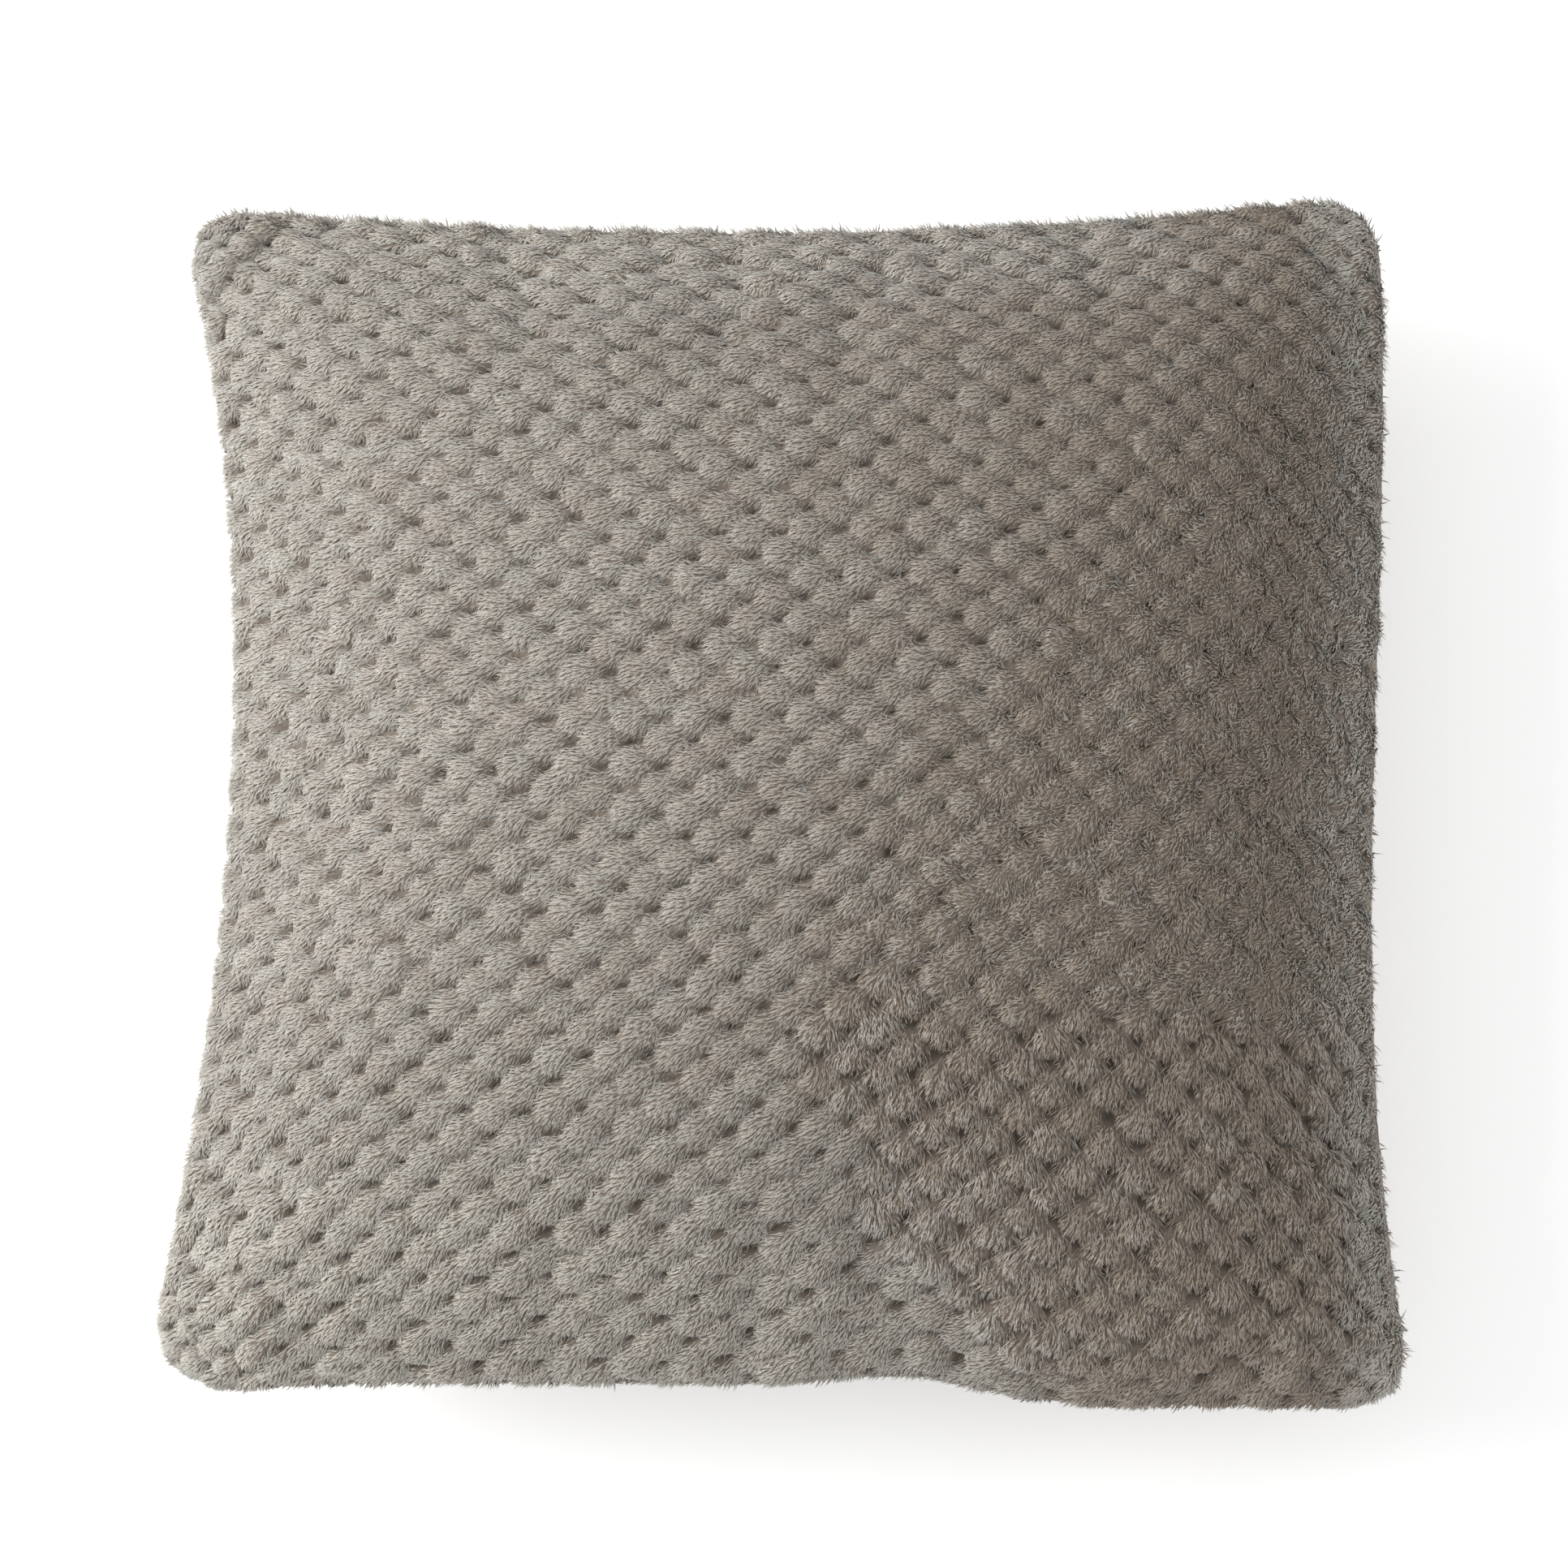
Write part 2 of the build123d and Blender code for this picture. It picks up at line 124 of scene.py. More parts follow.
# The zones reach from -1 at the left and bottom seams to 1 at the right and top ones. Each pair is the place
# where a zone begins and the place where it is complete.
ZONE_DRIFT = 0.04
ZONES_RIGHT = 0.97, 0.87
HANGING_LEFT, HANGING_TOP, HANGING_BOTTOM = (0.0, 0.1), (-0.33, -0.41), (-0.97, -0.84)
HANGING_CORNER, HANGING_SLANT = -0.54, 0.75  # below this corner the zone's left side slants away
RUFFLED_LEFT, RUFFLED_TOP, RUFFLED_BOTTOM = (0.12, 0.38), (0.85, 0.55), (-0.43, -0.33)
RUFFLED_SLANT = 0.55
DROOPING = 0.0, -0.85
RIM_ZONE = 0.965, 1  # fluffed edges at the right and the top, as shares of the panel from 0 to 1

# ---- Strands ----
FAN_REACH = 15 * MM  # the strands of a tuft spread from a place this far behind its middle
STRAND_SPACING = {FRONT: 0.86 * MM, BACK: 1.3 * MM}
STRAND_WIDTH = {FRONT: 0.5 * MM, BACK: 1.0 * MM}
WIDTH_RANGE = 0.75, 1.2
STRAND_LENGTH = 4.2 * MM
LENGTH_RANGE = 0.7, 1.15
HANGING_LONGER = 0.35
STRAND_LEAN = 0.85
STRAND_TURN, RIM_TURN = 0.14, 4
STRAND_WAVER, RUFFLED_WAVER, HANGING_WAVER = 0.16, 0.5, 0.2
CURL_UNDER, CURL_ZONE = 0.5, (0.2, 1)  # hanging strands are drawn back on the forward side of their tuft
ROOT_GATHER, ROOT_LEVEL, ROOT_SUNK = 0.12, 0.8, 0.4 * MM
OWN_SUPPORT = 0.85  # hanging strands don't sink below this share of their root's height
LOCK_SIZE = 2.6 * MM
LOCK_WAVE = 0.3  # waviness of the borders between locks
LOCK_UNEVEN = 2.2 * MM  # between the locks, where the pile is loose
LOCK_PULL = 0.3  # how far the tips of a lock are drawn together
LOCK_HASH = 12.9898, 78.233, 437.585  # scatters a number from 0 to 1 over the locks
FUZZ, FUZZ_RANGE = 0.65 * MM, (0.2, 1.0)
LOOSE_FUZZ, RIM_FUZZ = 1.1, 2
SLOPE_STEP = 0.8 * MM
MAX_SLOPE = 1.2
PILE_OVER_FLOOR = 0.4 * MM
STRAND_POINTS = 7  # two rings of three and the tip
LOWER_FACES = 7  # of a strand's ten faces, those below its middle ring
ROOT_WIDTH = 0.9  # of the middle's
ROUNDING_SIDEWAYS, ROUNDING_UP, ROUNDING_TIP = 0.28, 0.4, 0.3  # how much a strand's own form shades it
MAX_PIECE_FACES = 190000

# ---- Colours of the pile ----
TONES = 6
MIDDLE_TONE = 0.55
PILE_HUES = {  # darkest, middle and lightest tone of each hue in the yarn
    "cool": ((0.349, 0.3, 0.244), (0.447, 0.429, 0.389), (0.553, 0.535, 0.479)),
    "warm": ((0.365, 0.3, 0.242), (0.462, 0.427, 0.386), (0.568, 0.532, 0.477)),
}
# Painted shade: the lower half of every strand is painted darker, for the shade deep in the pile; the upper
# half keeps its tone.
STRAND_PAINTED_SHADE = {"lower": (0.72, 0.69, 0.65), "upper": (1.0, 1.0, 1.0)}
USUAL_TONE = 0.57
# Painted light and shade by place: the pile is painted darker towards the right, away from the key light,
# lighter again at the right rim, a little lighter at the left edge, and lighter along the top edge and the
# bottom edge.
PAINTED_LIGHT_LIFTS = (  # each with the shares across and along, from 0 to 1, where it begins and is complete
    (-0.4, [(0.25, 0.85)], []),
    (0.55, [(0.88, 0.97)], []),
    (0.08, [(0.2, 0)], []),
    (0.5, [(0.05, 0.3), (0.9, 0.7)], [(0.84, 0.97)]),
    (0.38, [(0.8, 0.55)], [(0.28, 0.06)]),
)
# Painted shadow and shade: a dark crescent is painted on each hanging tuft where the tips of the tuft above
# shade it, and the pile is painted darker where it hangs down and where it is ruffled.
SHADOW_TURN, SHADOW_ZONE = 0.6, (0.4, 0.95)  # where on a hanging tuft its dark crescent lies
HANGING_PAINTED_SHADE, CRESCENT_PAINTED_SHADOW, RUFFLED_PAINTED_SHADE = 0.08, 0.45, 0.05
# The tones by lock are painted light and shade: a lock that stands higher is painted lighter and a sunk one
# darker. The other tones differ at random, by strand, patch and tuft.
STRAND_TONES, LOOSE_TONES, LOCK_PAINTED_LIGHT, PATCH_TONES, TUFT_TONES = 0.05, 0.08, 0.45, 0.08, 0.06
# Painted shade: where the pile is loose, the lower halves of its strands are painted this many tones darker,
# for the shade in the gaps between its locks.
LOOSE_ROOT_PAINTED_SHADE = 1.6  # tones, where the pile is loose
# The hue differs at random by patch and strand; the hanging pile takes the warm hue more often, painted
# shade for the warmer look of the pile in shade.
WARM_LIMIT, WARM_SPREAD, HANGING_WARM_SHADE = 0.3, 0.4, 0.6

# ---- Colours of the rest, mostly pairs of a darker and a lighter one ----
# Painted shade: the base cloth is painted darkest in the pits between the tufts, where shade falls, and
# lighter on top.
CLOTH_PAINTED_SHADE = 0.35, 0.7  # of the darkest pile, in the pits and on top
TAUPE = (0.24, 0.215, 0.185), (0.33, 0.3, 0.262)
ENAMEL = (0.25, 0.225, 0.195), (0.28, 0.255, 0.222)
STOP_METAL = (0.5, 0.49, 0.47), (0.66, 0.65, 0.63)
THREAD = (0.36, 0.33, 0.288), (0.46, 0.43, 0.385)
WHITE_THREAD = (0.74, 0.73, 0.7), (0.84, 0.83, 0.81)
PERCALE = (0.72, 0.71, 0.69), (0.86, 0.855, 0.84)
FIBRE = (0.8, 0.8, 0.79), (0.9, 0.9, 0.89)
CAD_FINISHES = {
    "zip_tape_front": "tape",
    "zip_tape_back": "tape",
    "zip_top_stop_front": "metal",
    "zip_top_stop_back": "metal",
    "zip_bottom_stop": "metal",
    "zip_slider": "enamel",
    "zip_pull_tab": "enamel",
}

# ---- Zip ----
_, tape_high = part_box("zip_tape_front")
slider_low, slider_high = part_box("zip_slider")
_, tab_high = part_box("zip_pull_tab")
ZIP_HALF = tape_high.x
MOUTH_HALF_HEIGHT = tape_high.z - SEAM_Z
MOUTH_Y = -(HALF_SIDE - PULL_BOTTOM)  # the seam line along the zip
MOUTH_FADE = 22 * MM
MOUTH_END = ZIP_HALF + 9.5 * MM  # the lips meet here, beyond the tab of the open zip
MOUTH_TAPER = 6.5 * MM
TAB_CLEAR = tab_high.z - SEAM_Z + 0.3 * MM  # half heights of the slit that the pile leaves
SLIDER_CLEAR = slider_high.z - SEAM_Z + 0.4 * MM
SLIDER_MARGIN = 0.5 * MM
OPENING_MARGIN = 7.5 * MM  # from the ends of the tape to the ends of the seam beside it
COIL_PITCH, COIL_WIRE, COIL_CORD = 1.3 * MM, 0.3 * MM, 0.4 * MM
WINDING_STEP = math.pi / 6
COIL_ROUNDNESS, TACK_ROUNDNESS = 0.75, 0.6  # 1 would be a round winding, less is squarer
TACK_PITCH, TACK_WIDTH = 1.7, 0.95  # in radii of the thread

# ---- Sewing ----
THREAD_RADIUS = 0.3 * MM
PLY_PITCH, PLY_WAIST = 1.6 * MM, 0.18
COVER_STITCH, ZIP_STITCH, INSERT_STITCH, CLOSING_STITCH = 3.2 * MM, 2.8 * MM, 3.6 * MM, 3.0 * MM
STITCH_STEEPNESS = 3
DIP_SHARPNESS, DIP_END = 10, 0.2  # its end is that share of the way from the seam line to the run
THREAD_STEP = 0.4 * MM
COVER_SEAM_INSET, INSERT_SEAM_INSET = 12 * MM, 21 * MM
EDGE_ROUNDING, LIP_ROUNDING = 0.25 * MM, 0.15 * MM
ALLOWANCE_INNER, ALLOWANCE_THICKNESS = 16 * MM, 1.2 * MM
ALLOWANCE_GAP, ALLOWANCE_WANDER = 0.1 * MM, 0.6 * MM
LIP_COVER = 0.6 * MM  # how far behind the edge of its panel an allowance at the zip stays
ZIP_ALLOWANCE_TO = 20 * MM  # behind the seam line
LINING_END, LINING_TAPER = ZIP_HALF + 5 * MM, 4.5 * MM  # the allowances meet here behind the zip

# ---- Insert and filling ----
INSERT_INSET = 24 * MM
INSERT_UNDER_CROWN, INSERT_OVER_FLOOR = 1.5 * MM, 0.5 * MM
INSERT_LIP_INSET = 18.5 * MM
INSERT_LIP_THICKNESS, INSERT_LIP_GAP = 0.8 * MM, 0.02 * MM
FILL_INSET = 26 * MM
FILL_UNDER_CROWN, FILL_OVER_FLOOR = 2.5 * MM, 1 * MM
WRINKLE_DEPTH = 1.3 * MM
SIDE_PUCKERS, END_PUCKERS = 420, 400  # radians a metre
PUCKER_SWAY, PUCKER_REACH, PUCKER_DEPTH, WRINKLE_SHARE = 2, 28 * MM, 0.6, 0.5
HELD_BY_SEAM = 9 * MM
LUMP_DEPTH, LUMPS_FROM_EDGE = 2.6 * MM, 8 * MM
CREASE_WIDTH, SMALL_CREASES = 0.3, 0.7
FIBRE_SPACING, FIBRE_LENGTH, FIBRE_WIDTH = 4.5 * MM, 14 * MM, 0.3 * MM
FIBRE_BEND = 0.25
FIBRE_EDGE_CELLS = 4  # no strand starts this near the edge of the lumps

# ---- Unevenness ----
NOISE_WAVES, NOISE_STRETCH = 7, (0.7, 1.5)
NOISES = {  # size of the features and seed of each kind
    "columns": (80 * MM, 11),
    "rows": (70 * MM, 12),
    "zone edges": (60 * MM, 21),
    "ripples": (32 * MM, 22),
    "comb": (70 * MM, 24),
    "strands": (7 * MM, 31),
    "tone patches": (45 * MM, 41),
    "hue patches": (24 * MM, 42),
    "allowance edge": (30 * MM, 51),
    "side puckers": (50 * MM, 61),
    "end puckers": (50 * MM, 62),
    "insert wrinkles": (70 * MM, 63),
    "large creases": (45 * MM, 71),
    "small creases": (22 * MM, 73),
}
random = np.random.default_rng(7)
JITTER_ROWS, JITTER_COLUMNS = 97, 89
TUFT_JITTER = random.uniform(-1, 1, (JITTER_ROWS, JITTER_COLUMNS, 3))

# ---- Studio ----
FLOOR_HALF, FLOOR_COLOUR, WHITE = 12.0, (0.93, 0.93, 0.93, 1), (1, 1, 1, 1)
FLOOR_GLOW = 0.34  # a lit tabletop, so that the shadow stays light
SKY_STRENGTH = 0.62
LIGHTS = {  # place, target, size and power
    "key_light": ((-1.9, 0.45, 1.1), (0, 0, 0.05), 1.6, 48),
    "fill_light": ((1.7, -0.7, 0.8), (0.1, 0, 0.05), 1.2, 5),
}
CAMERA_TILT, CAMERA_DISTANCE = math.radians(10.8), 1.5
SENSOR_WIDTH, FOCAL_LENGTH = 36, 96  # mm
SHIFT_X, SHIFT_Y = 0.0022, 0.0016


# ======== Meshes ========

def unit(vectors):
    """The vectors at a length of one."""
    return vectors / np.maximum(np.linalg.norm(vectors, axis=-1, keepdims=True), 1e-9)


def make_mesh(name, points, faces, smooth=True, **attributes):
    """Mesh object from an array of points and one of faces with equal corner counts."""
    mesh = bpy.data.meshes.new(name)
    corners = faces.shape[1]
    mesh.vertices.add(len(points))
    mesh.vertices.foreach_set("co", np.ascontiguousarray(points, np.float32).ravel())
    mesh.loops.add(faces.size)
    mesh.loops.foreach_set("vertex_index", np.ascontiguousarray(faces, np.int32).ravel())
    mesh.polygons.add(len(faces))
    mesh.polygons.foreach_set("loop_start", np.arange(0, faces.size, corners, dtype=np.int32))
    mesh.polygons.foreach_set("use_smooth", np.full(len(faces), smooth))
    for attribute, values in attributes.items():
        layer = mesh.attributes.new(attribute, "FLOAT", "POINT")
        layer.data.foreach_set("value", np.ascontiguousarray(values, np.float32))
    mesh.update(calc_edges=True)
    piece = bpy.data.objects.new(name, mesh)
    bpy.context.scene.collection.objects.link(piece)
    return piece


def grid_faces(rows, columns, flip=False):
    """Quads of a grid of rows by columns points."""
    index = np.arange(rows * columns).reshape(rows, columns)
    quads = np.stack([index[:-1, :-1], index[:-1, 1:], index[1:, 1:], index[1:, :-1]], -1).reshape(-1, 4)
    return quads[:, ::-1] if flip else quads


def grid_normals(points, side):
    """Unit normals of a grid of points, out of the pillow."""
    along_columns = np.gradient(points, axis=1)
    along_rows = np.gradient(points, axis=0)
    return unit(np.cross(along_columns, along_rows) * side)


def finer_axis(points, times):
    """Points of a grid with its first axis divided by smooth cubic steps."""
    first = 2 * points[:1] - points[1:2]
    last = 2 * points[-1:] - points[-2:-1]
    padded = np.concatenate([first, points, last])
    before, start, end, after = padded[:-3], padded[1:-2], padded[2:-1], padded[3:]
    steps = []
    for step in range(times):
        t = step / times
        steps.append(0.5 * (
            2 * start
            + (end - before) * t
            + (2 * before - 5 * start + 4 * end - after) * t**2
            + (3 * start - before - 3 * end + after) * t**3
        ))
    inner = np.stack(steps, 1).reshape(-1, *points.shape[1:])
    return np.concatenate([inner, points[-1:]])


def finer_grid(points, times):
    """Points of a grid with both its axes divided."""
    return finer_axis(finer_axis(points, times).swapaxes(0, 1), times).swapaxes(0, 1)


def uneven(kind, x, y, side=0):
    """Smooth noise of one kind, mostly from -1 to 1; given a side, it differs between the two."""
    size, seed = NOISES[kind]
    phases = np.random.default_rng(seed + side)
    total = np.zeros_like(x)
    for _ in range(NOISE_WAVES):
        angle = phases.uniform(0, 2 * math.pi)
        stretch = phases.uniform(*NOISE_STRETCH) * 2 * math.pi / size
        phase = phases.uniform(0, 2 * math.pi)
        total += np.sin((x * math.cos(angle) + y * math.sin(angle)) * stretch + phase)
    return total / math.sqrt(NOISE_WAVES * 2)


def smooth_step(value, begins, complete):
    """Share from 0 to 1 by how far a value has come on its way up or down to where the share is complete."""
    share = np.clip((value - begins) / (complete - begins), 0, 1)
    return share * share * (3 - 2 * share)


def straight_path(x, y, z):
    """Points along X at the places x, and the outward directions of the bottom edge there."""
    flat = np.zeros_like(x)
    return np.stack([x, flat + y, flat + z], -1), np.tile((0.0, -1.0, 0.0), (len(x), 1))


def sweep(name, path, outward, section, closed=False):
    """Solid made by a section carried along a path.

    A section is a loop of (outward, upward) distances: one for the whole path, or one for each point on it.
    """
    if closed:
        along = np.roll(path, -1, 0) - np.roll(path, 1, 0)
    else:
        along = np.gradient(path, axis=0)
    along = unit(along)
    upward = unit(np.cross(outward, along))
    outward = np.cross(along, upward)
    section = np.broadcast_to(section, (len(path), *np.shape(section)[-2:]))
    points = path[:, None] + outward[:, None] * section[..., :1] + upward[:, None] * section[..., 1:]
    rows, sides = section.shape[:2]
    row = np.arange(rows if closed else rows - 1)[:, None]
    corner = np.arange(sides)[None]
    start, start_after = row * sides + corner, row * sides + (corner + 1) % sides
    end, end_after = (start + sides) % (rows * sides), (start_after + sides) % (rows * sides)
    faces = [np.stack([start, end, end_after], -1).reshape(-1, 3)]
    faces += [np.stack([start, end_after, start_after], -1).reshape(-1, 3)]
    if not closed:
        middle = np.arange(1, sides - 1)
        cap = np.stack([np.zeros_like(middle), middle, middle + 1], -1)
        faces += [cap, cap[:, ::-1] + (rows - 1) * sides]
    return make_mesh(name, points.reshape(-1, 3), np.concatenate(faces))


def round_section(radius, sides=6):
    """Section of a round wire."""
    angle = np.arange(sides) * 2 * math.pi / sides
    return radius * np.stack([np.cos(angle), np.sin(angle)], -1)


def plied_section(path, radius, sides=8):
    """Section of a two-ply thread, turning on its way along the path."""
    length = np.concatenate([[0], np.cumsum(np.linalg.norm(np.diff(path, axis=0), axis=1))])
    angle = np.arange(sides) * 2 * math.pi / sides
    around = angle[None] - length[:, None] * 2 * math.pi / PLY_PITCH
    reach = radius * (1 - PLY_WAIST + PLY_WAIST * np.cos(2 * around))
    return np.stack([reach * np.cos(angle), reach * np.sin(angle)], -1)


def strip_section(inner, outer, low, high, rounding=EDGE_ROUNDING):
    """Flat strip with rounded edges, from inner to outer and low to high."""
    across = (inner, inner + rounding, outer - rounding, outer)
    up = (low, low + rounding, high - rounding, high)
    loop = ((1, 0), (2, 0), (3, 1), (3, 2), (2, 3), (1, 3), (0, 2), (0, 1))
    return np.array([(across[i], up[j]) for i, j in loop])


# ======== Shape of the panels ========

def rise(angle):
    """Share of the crown's height, 0 at a side and 1 in the middle."""
    return (np.sin(angle) - math.sin(RIM_ANGLE)) / (1 - math.sin(RIM_ANGLE))


def plan(across, along, inset):
    """Plan position in the outline drawn in by inset; across and along run from -1 to 1."""
    half = HALF_SIDE - inset
    left_bow = PULL_LEFT * (1 - across) * (1 + LEFT_SKEW * along)
    right_bow = PULL_RIGHT * (1 + across) * (1 + RIGHT_SKEW * along)
    side_bow = (left_bow - right_bow) / 2
    drawn_in = (1 - across**BOTTOM_SIDE_POWER) * (1 - smooth_step(across, BOTTOM_FULL_FROM, BOTTOM_FULL_TO))
    dimple = DIMPLE_DEPTH * np.exp(-((across - DIMPLE_PLACE) / DIMPLE_WIDTH) ** 2)
    bottom_bow = (PULL_BOTTOM * drawn_in + dimple) * (1 - along) / 2
    top_bow = PULL_TOP * (1 - across**2) * (1 + along) / 2
    x = across * half + side_bow * (1 - along**2)
    y = along * half + bottom_bow - top_bow
    for (side_across, side_along), (shift_x, shift_y) in CORNER_SHIFT.items():
        share = (1 + side_across * across) * (1 + side_along * along) / 4
        x = x + share * shift_x
        y = y + share * shift_y
    return x, y


def round_corners(across, along, inset):
    """Moves the corners of the square from -1 to 1 in, onto an arc, and what is near them with them."""
    radius = np.where((across < 0) & (along < 0), BLUNT_CORNER_RADIUS, CORNER_RADIUS) / (HALF_SIDE - inset)
    centre = 1 - radius
    beyond_across = np.clip(np.abs(across) - centre, 0, radius) / radius
    beyond_along = np.clip(np.abs(along) - centre, 0, radius) / radius
    out_across = radius * beyond_across * np.sqrt(1 - beyond_along**2 / 2)
    out_along = radius * beyond_along * np.sqrt(1 - beyond_across**2 / 2)
    round_across = np.sign(across) * (np.minimum(np.abs(across), centre) + out_across)
    round_along = np.sign(along) * (np.minimum(np.abs(along), centre) + out_along)
    return round_across, round_along


def outline(inset, spacing):
    """Distances, points and outward directions round the pillow, inset from its edge."""
    angle = np.linspace(-math.pi / 2, 1.5 * math.pi, OUTLINE_SAMPLES)
    reach = np.maximum(np.abs(np.cos(angle)), np.abs(np.sin(angle)))
    x, y = plan(*round_corners(np.cos(angle) / reach, np.sin(angle) / reach, inset), inset)
    distance = np.concatenate([[0], np.cumsum(np.hypot(np.diff(x), np.diff(y)))])
    places = np.linspace(0, distance[-1], int(distance[-1] / spacing), endpoint=False)
    x, y = np.interp(places, distance, x), np.interp(places, distance, y)
    along = unit(np.stack([np.roll(x, -1) - np.roll(x, 1), np.roll(y, -1) - np.roll(y, 1)], -1))
    zero = np.zeros_like(x)
    return places, np.stack([x, y, zero], -1), np.stack([along[:, 1], -along[:, 0], zero], -1)


def beyond_zip(points):
    """Picks the points of an outline that aren't at the zip's opening."""
    return (points[:, 1] > 0) | (np.abs(points[:, 0]) > ZIP_HALF + OPENING_MARGIN)


def panel_grid(side, inset, crown, cells, mouth=0.0):
    """Grid of points over one panel, from the bottom left; mouth lifts the lip along the zip."""
    angles = np.linspace(RIM_ANGLE, math.pi - RIM_ANGLE, cells + 1)
    places = -np.cos(angles) / math.cos(RIM_ANGLE)
    across, along = np.meshgrid(places, places)
    share = np.outer(rise(angles), rise(angles))
    if side == BACK:
        share = 2 * share - share**2
    across, along = round_corners(across, along, inset)
    x, y = plan(across, along, inset)
    height = crown * share
    from_mouth = y + HALF_SIDE - inset - PULL_BOTTOM
    open_width = smooth_step(MOUTH_END - np.abs(x), 0, MOUTH_TAPER)
    height += mouth * open_width * np.exp(-np.maximum(from_mouth, 0) / MOUTH_FADE)
    return np.stack([x, y, SEAM_Z + side * height], -1)


def settle(points, side, growth):
    """Settles a panel's cloth under the filling's pressure, its edge held by the seam."""
    rows, columns = points.shape[:2]
    flat_points = points.reshape(-1, 3)
    sheet = make_mesh("settling_sheet", flat_points, grid_faces(rows, columns, flip=side == BACK))
    edge = np.zeros((rows, columns), bool)
    edge[[0, -1], :] = True
    edge[:, [0, -1]] = True
    held = sheet.vertex_groups.new(name="seam")
    held.add(np.flatnonzero(edge).tolist(), 1.0, "REPLACE")
    cloth = sheet.modifiers.new("Cloth", "CLOTH")
    for name, value in CLOTH_SETTINGS.items():
        setattr(cloth.settings, name, value)
    cloth.settings.effector_weights.gravity = 0
    cloth.settings.shrink_min = -growth
    cloth.settings.vertex_group_mass = "seam"
    cloth.collision_settings.use_collision = False
    cloth.point_cache.frame_end = SIM_FRAMES
    scene = bpy.context.scene
    for number in range(1, SIM_FRAMES + 1):
        scene.frame_set(number)
    settled = sheet.evaluated_get(bpy.context.evaluated_depsgraph_get()).data
    moved = np.empty(len(flat_points) * 3, np.float32)
    settled.vertices.foreach_get("co", moved)
    moved = moved.reshape(-1, 3).astype(float) - flat_points
    length = np.linalg.norm(moved, axis=1, keepdims=True)
    moved *= np.minimum(1, SIM_CAP / np.maximum(length, 1e-9))
    mesh = sheet.data
    bpy.data.objects.remove(sheet)
    bpy.data.meshes.remove(mesh)
    scene.frame_set(1)
    return points + moved.reshape(points.shape)


class Panel:
    """A settled cloth on one side, and how far each place on it is from its left and bottom seams."""

    def __init__(self, side, inset, crown, lowest, finer, mouth=0.0):
        self.side = side
        points = panel_grid(side, inset, crown, SIM_CELLS, mouth)
        points = settle(points, side, CLOTH_GROWTH)
        points[..., 2] = np.maximum(points[..., 2], lowest)
        self.points = finer_grid(points, finer)
        self.normals = grid_normals(self.points, side)
        middle = self.points.shape[0] // 2
        self.across = self.arc_length(self.points[middle])
        self.along = self.arc_length(self.points[:, middle])

    @staticmethod
    def arc_length(line):
        """Distance of each point on a line of the grid from its first one."""
        steps = np.linalg.norm(np.diff(line, axis=0), axis=1)
        return np.concatenate([[0], np.cumsum(steps)])

    def fabric_grid(self):
        """Distance from the left and bottom seams, in the cloth, at every grid point."""
        return np.meshgrid(self.across, self.along)

    def sample(self, grid, s, t):
        """Values of a grid at cloth distances s and t."""
        (column, in_column), (row, in_row) = self.cell(self.across, s), self.cell(self.along, t)
        low = grid[row, column] * (1 - in_column) + grid[row, column + 1] * in_column
        high = grid[row + 1, column] * (1 - in_column) + grid[row + 1, column + 1] * in_column
        return low * (1 - in_row) + high * in_row

    @staticmethod
    def cell(line, distance):
        """Grid cell at each distance along a line of the grid, and the share of the cell passed."""
        place = np.clip(np.interp(distance, line, np.arange(len(line))), 0, len(line) - 1.001)
        number = place.astype(int)
        return number, (place - number)[:, None]


# ======== Pile ========

def comb_field(panel, s, t):
    """Direction in the cloth that the pile's tips point to, how ruffled it is and how far it hangs down."""
    drift = ZONE_DRIFT * uneven("zone edges", s, t)
    across = 2 * s / panel.across[-1] - 1 + drift
    along = 2 * t / panel.along[-1] - 1 + drift
    inner = smooth_step(across, *ZONES_RIGHT)
    hanging = smooth_step(across - HANGING_SLANT * np.maximum(HANGING_CORNER - along, 0), *HANGING_LEFT)
    hanging = hanging * smooth_step(along, *HANGING_TOP) * smooth_step(along, *HANGING_BOTTOM) * inner
    ruffled = smooth_step(across - RUFFLED_SLANT * along, *RUFFLED_LEFT)
    ruffled = ruffled * smooth_step(along, *RUFFLED_BOTTOM) * smooth_step(along, *RUFFLED_TOP) * inner
    sideways = COMB_SIDEWAYS + COMB_DROOP * smooth_step(along, *DROOPING)
    angle = sideways + (COMB_DOWN - sideways) * np.maximum(hanging, RUFFLED_TURN * ruffled)
    rippled = (COMB_RIPPLE + RUFFLED_RIPPLE * ruffled) * uneven("ripples", s, t)
    angle += COMB_WANDER * uneven("comb", s, t) + rippled
    return angle, ruffled, hanging


def dome_height(off_s, off_t, size, comb_s, comb_t, hanging):
    """Height of one tuft over the cloth at an offset from its middle; it rises the way it is combed."""
    narrow = 1 - HANGING_NARROWER * hanging
    reach = np.abs(off_s / narrow / TUFT_REACH_S) ** TUFT_SQUARENESS
    reach += np.abs(off_t / narrow / TUFT_REACH_T) ** TUFT_SQUARENESS
    dome = np.sqrt(np.maximum(1 - reach**TUFT_FULLNESS, 0))
    leaning = (off_s * comb_s + off_t * comb_t) / TUFT_REACH_S
    tilt = TUFT_TILT + SHINGLE_TILT * hanging
    return TUFT_RISE * size * (dome + tilt * leaning * (reach < 1))


def row_place(panel, s, t):
    """Cloth distances moved so that the rows of tufts are straight and evenly spaced in them."""
    half_width, half_height = panel.across[-1] / 2, panel.along[-1] / 2
    across, along = s / half_width - 1, t / half_height - 1
    arch = ROW_ARCH * across**2 * (0.5 + along)
    s_even = s + TUFT_SWAY * uneven("columns", s, t)
    t_even = along * half_height * (1 - ROW_STRETCH * along**2) - ROW_TILT * s + arch
    return s_even, t_even + TUFT_SWAY * uneven("rows", s, t)


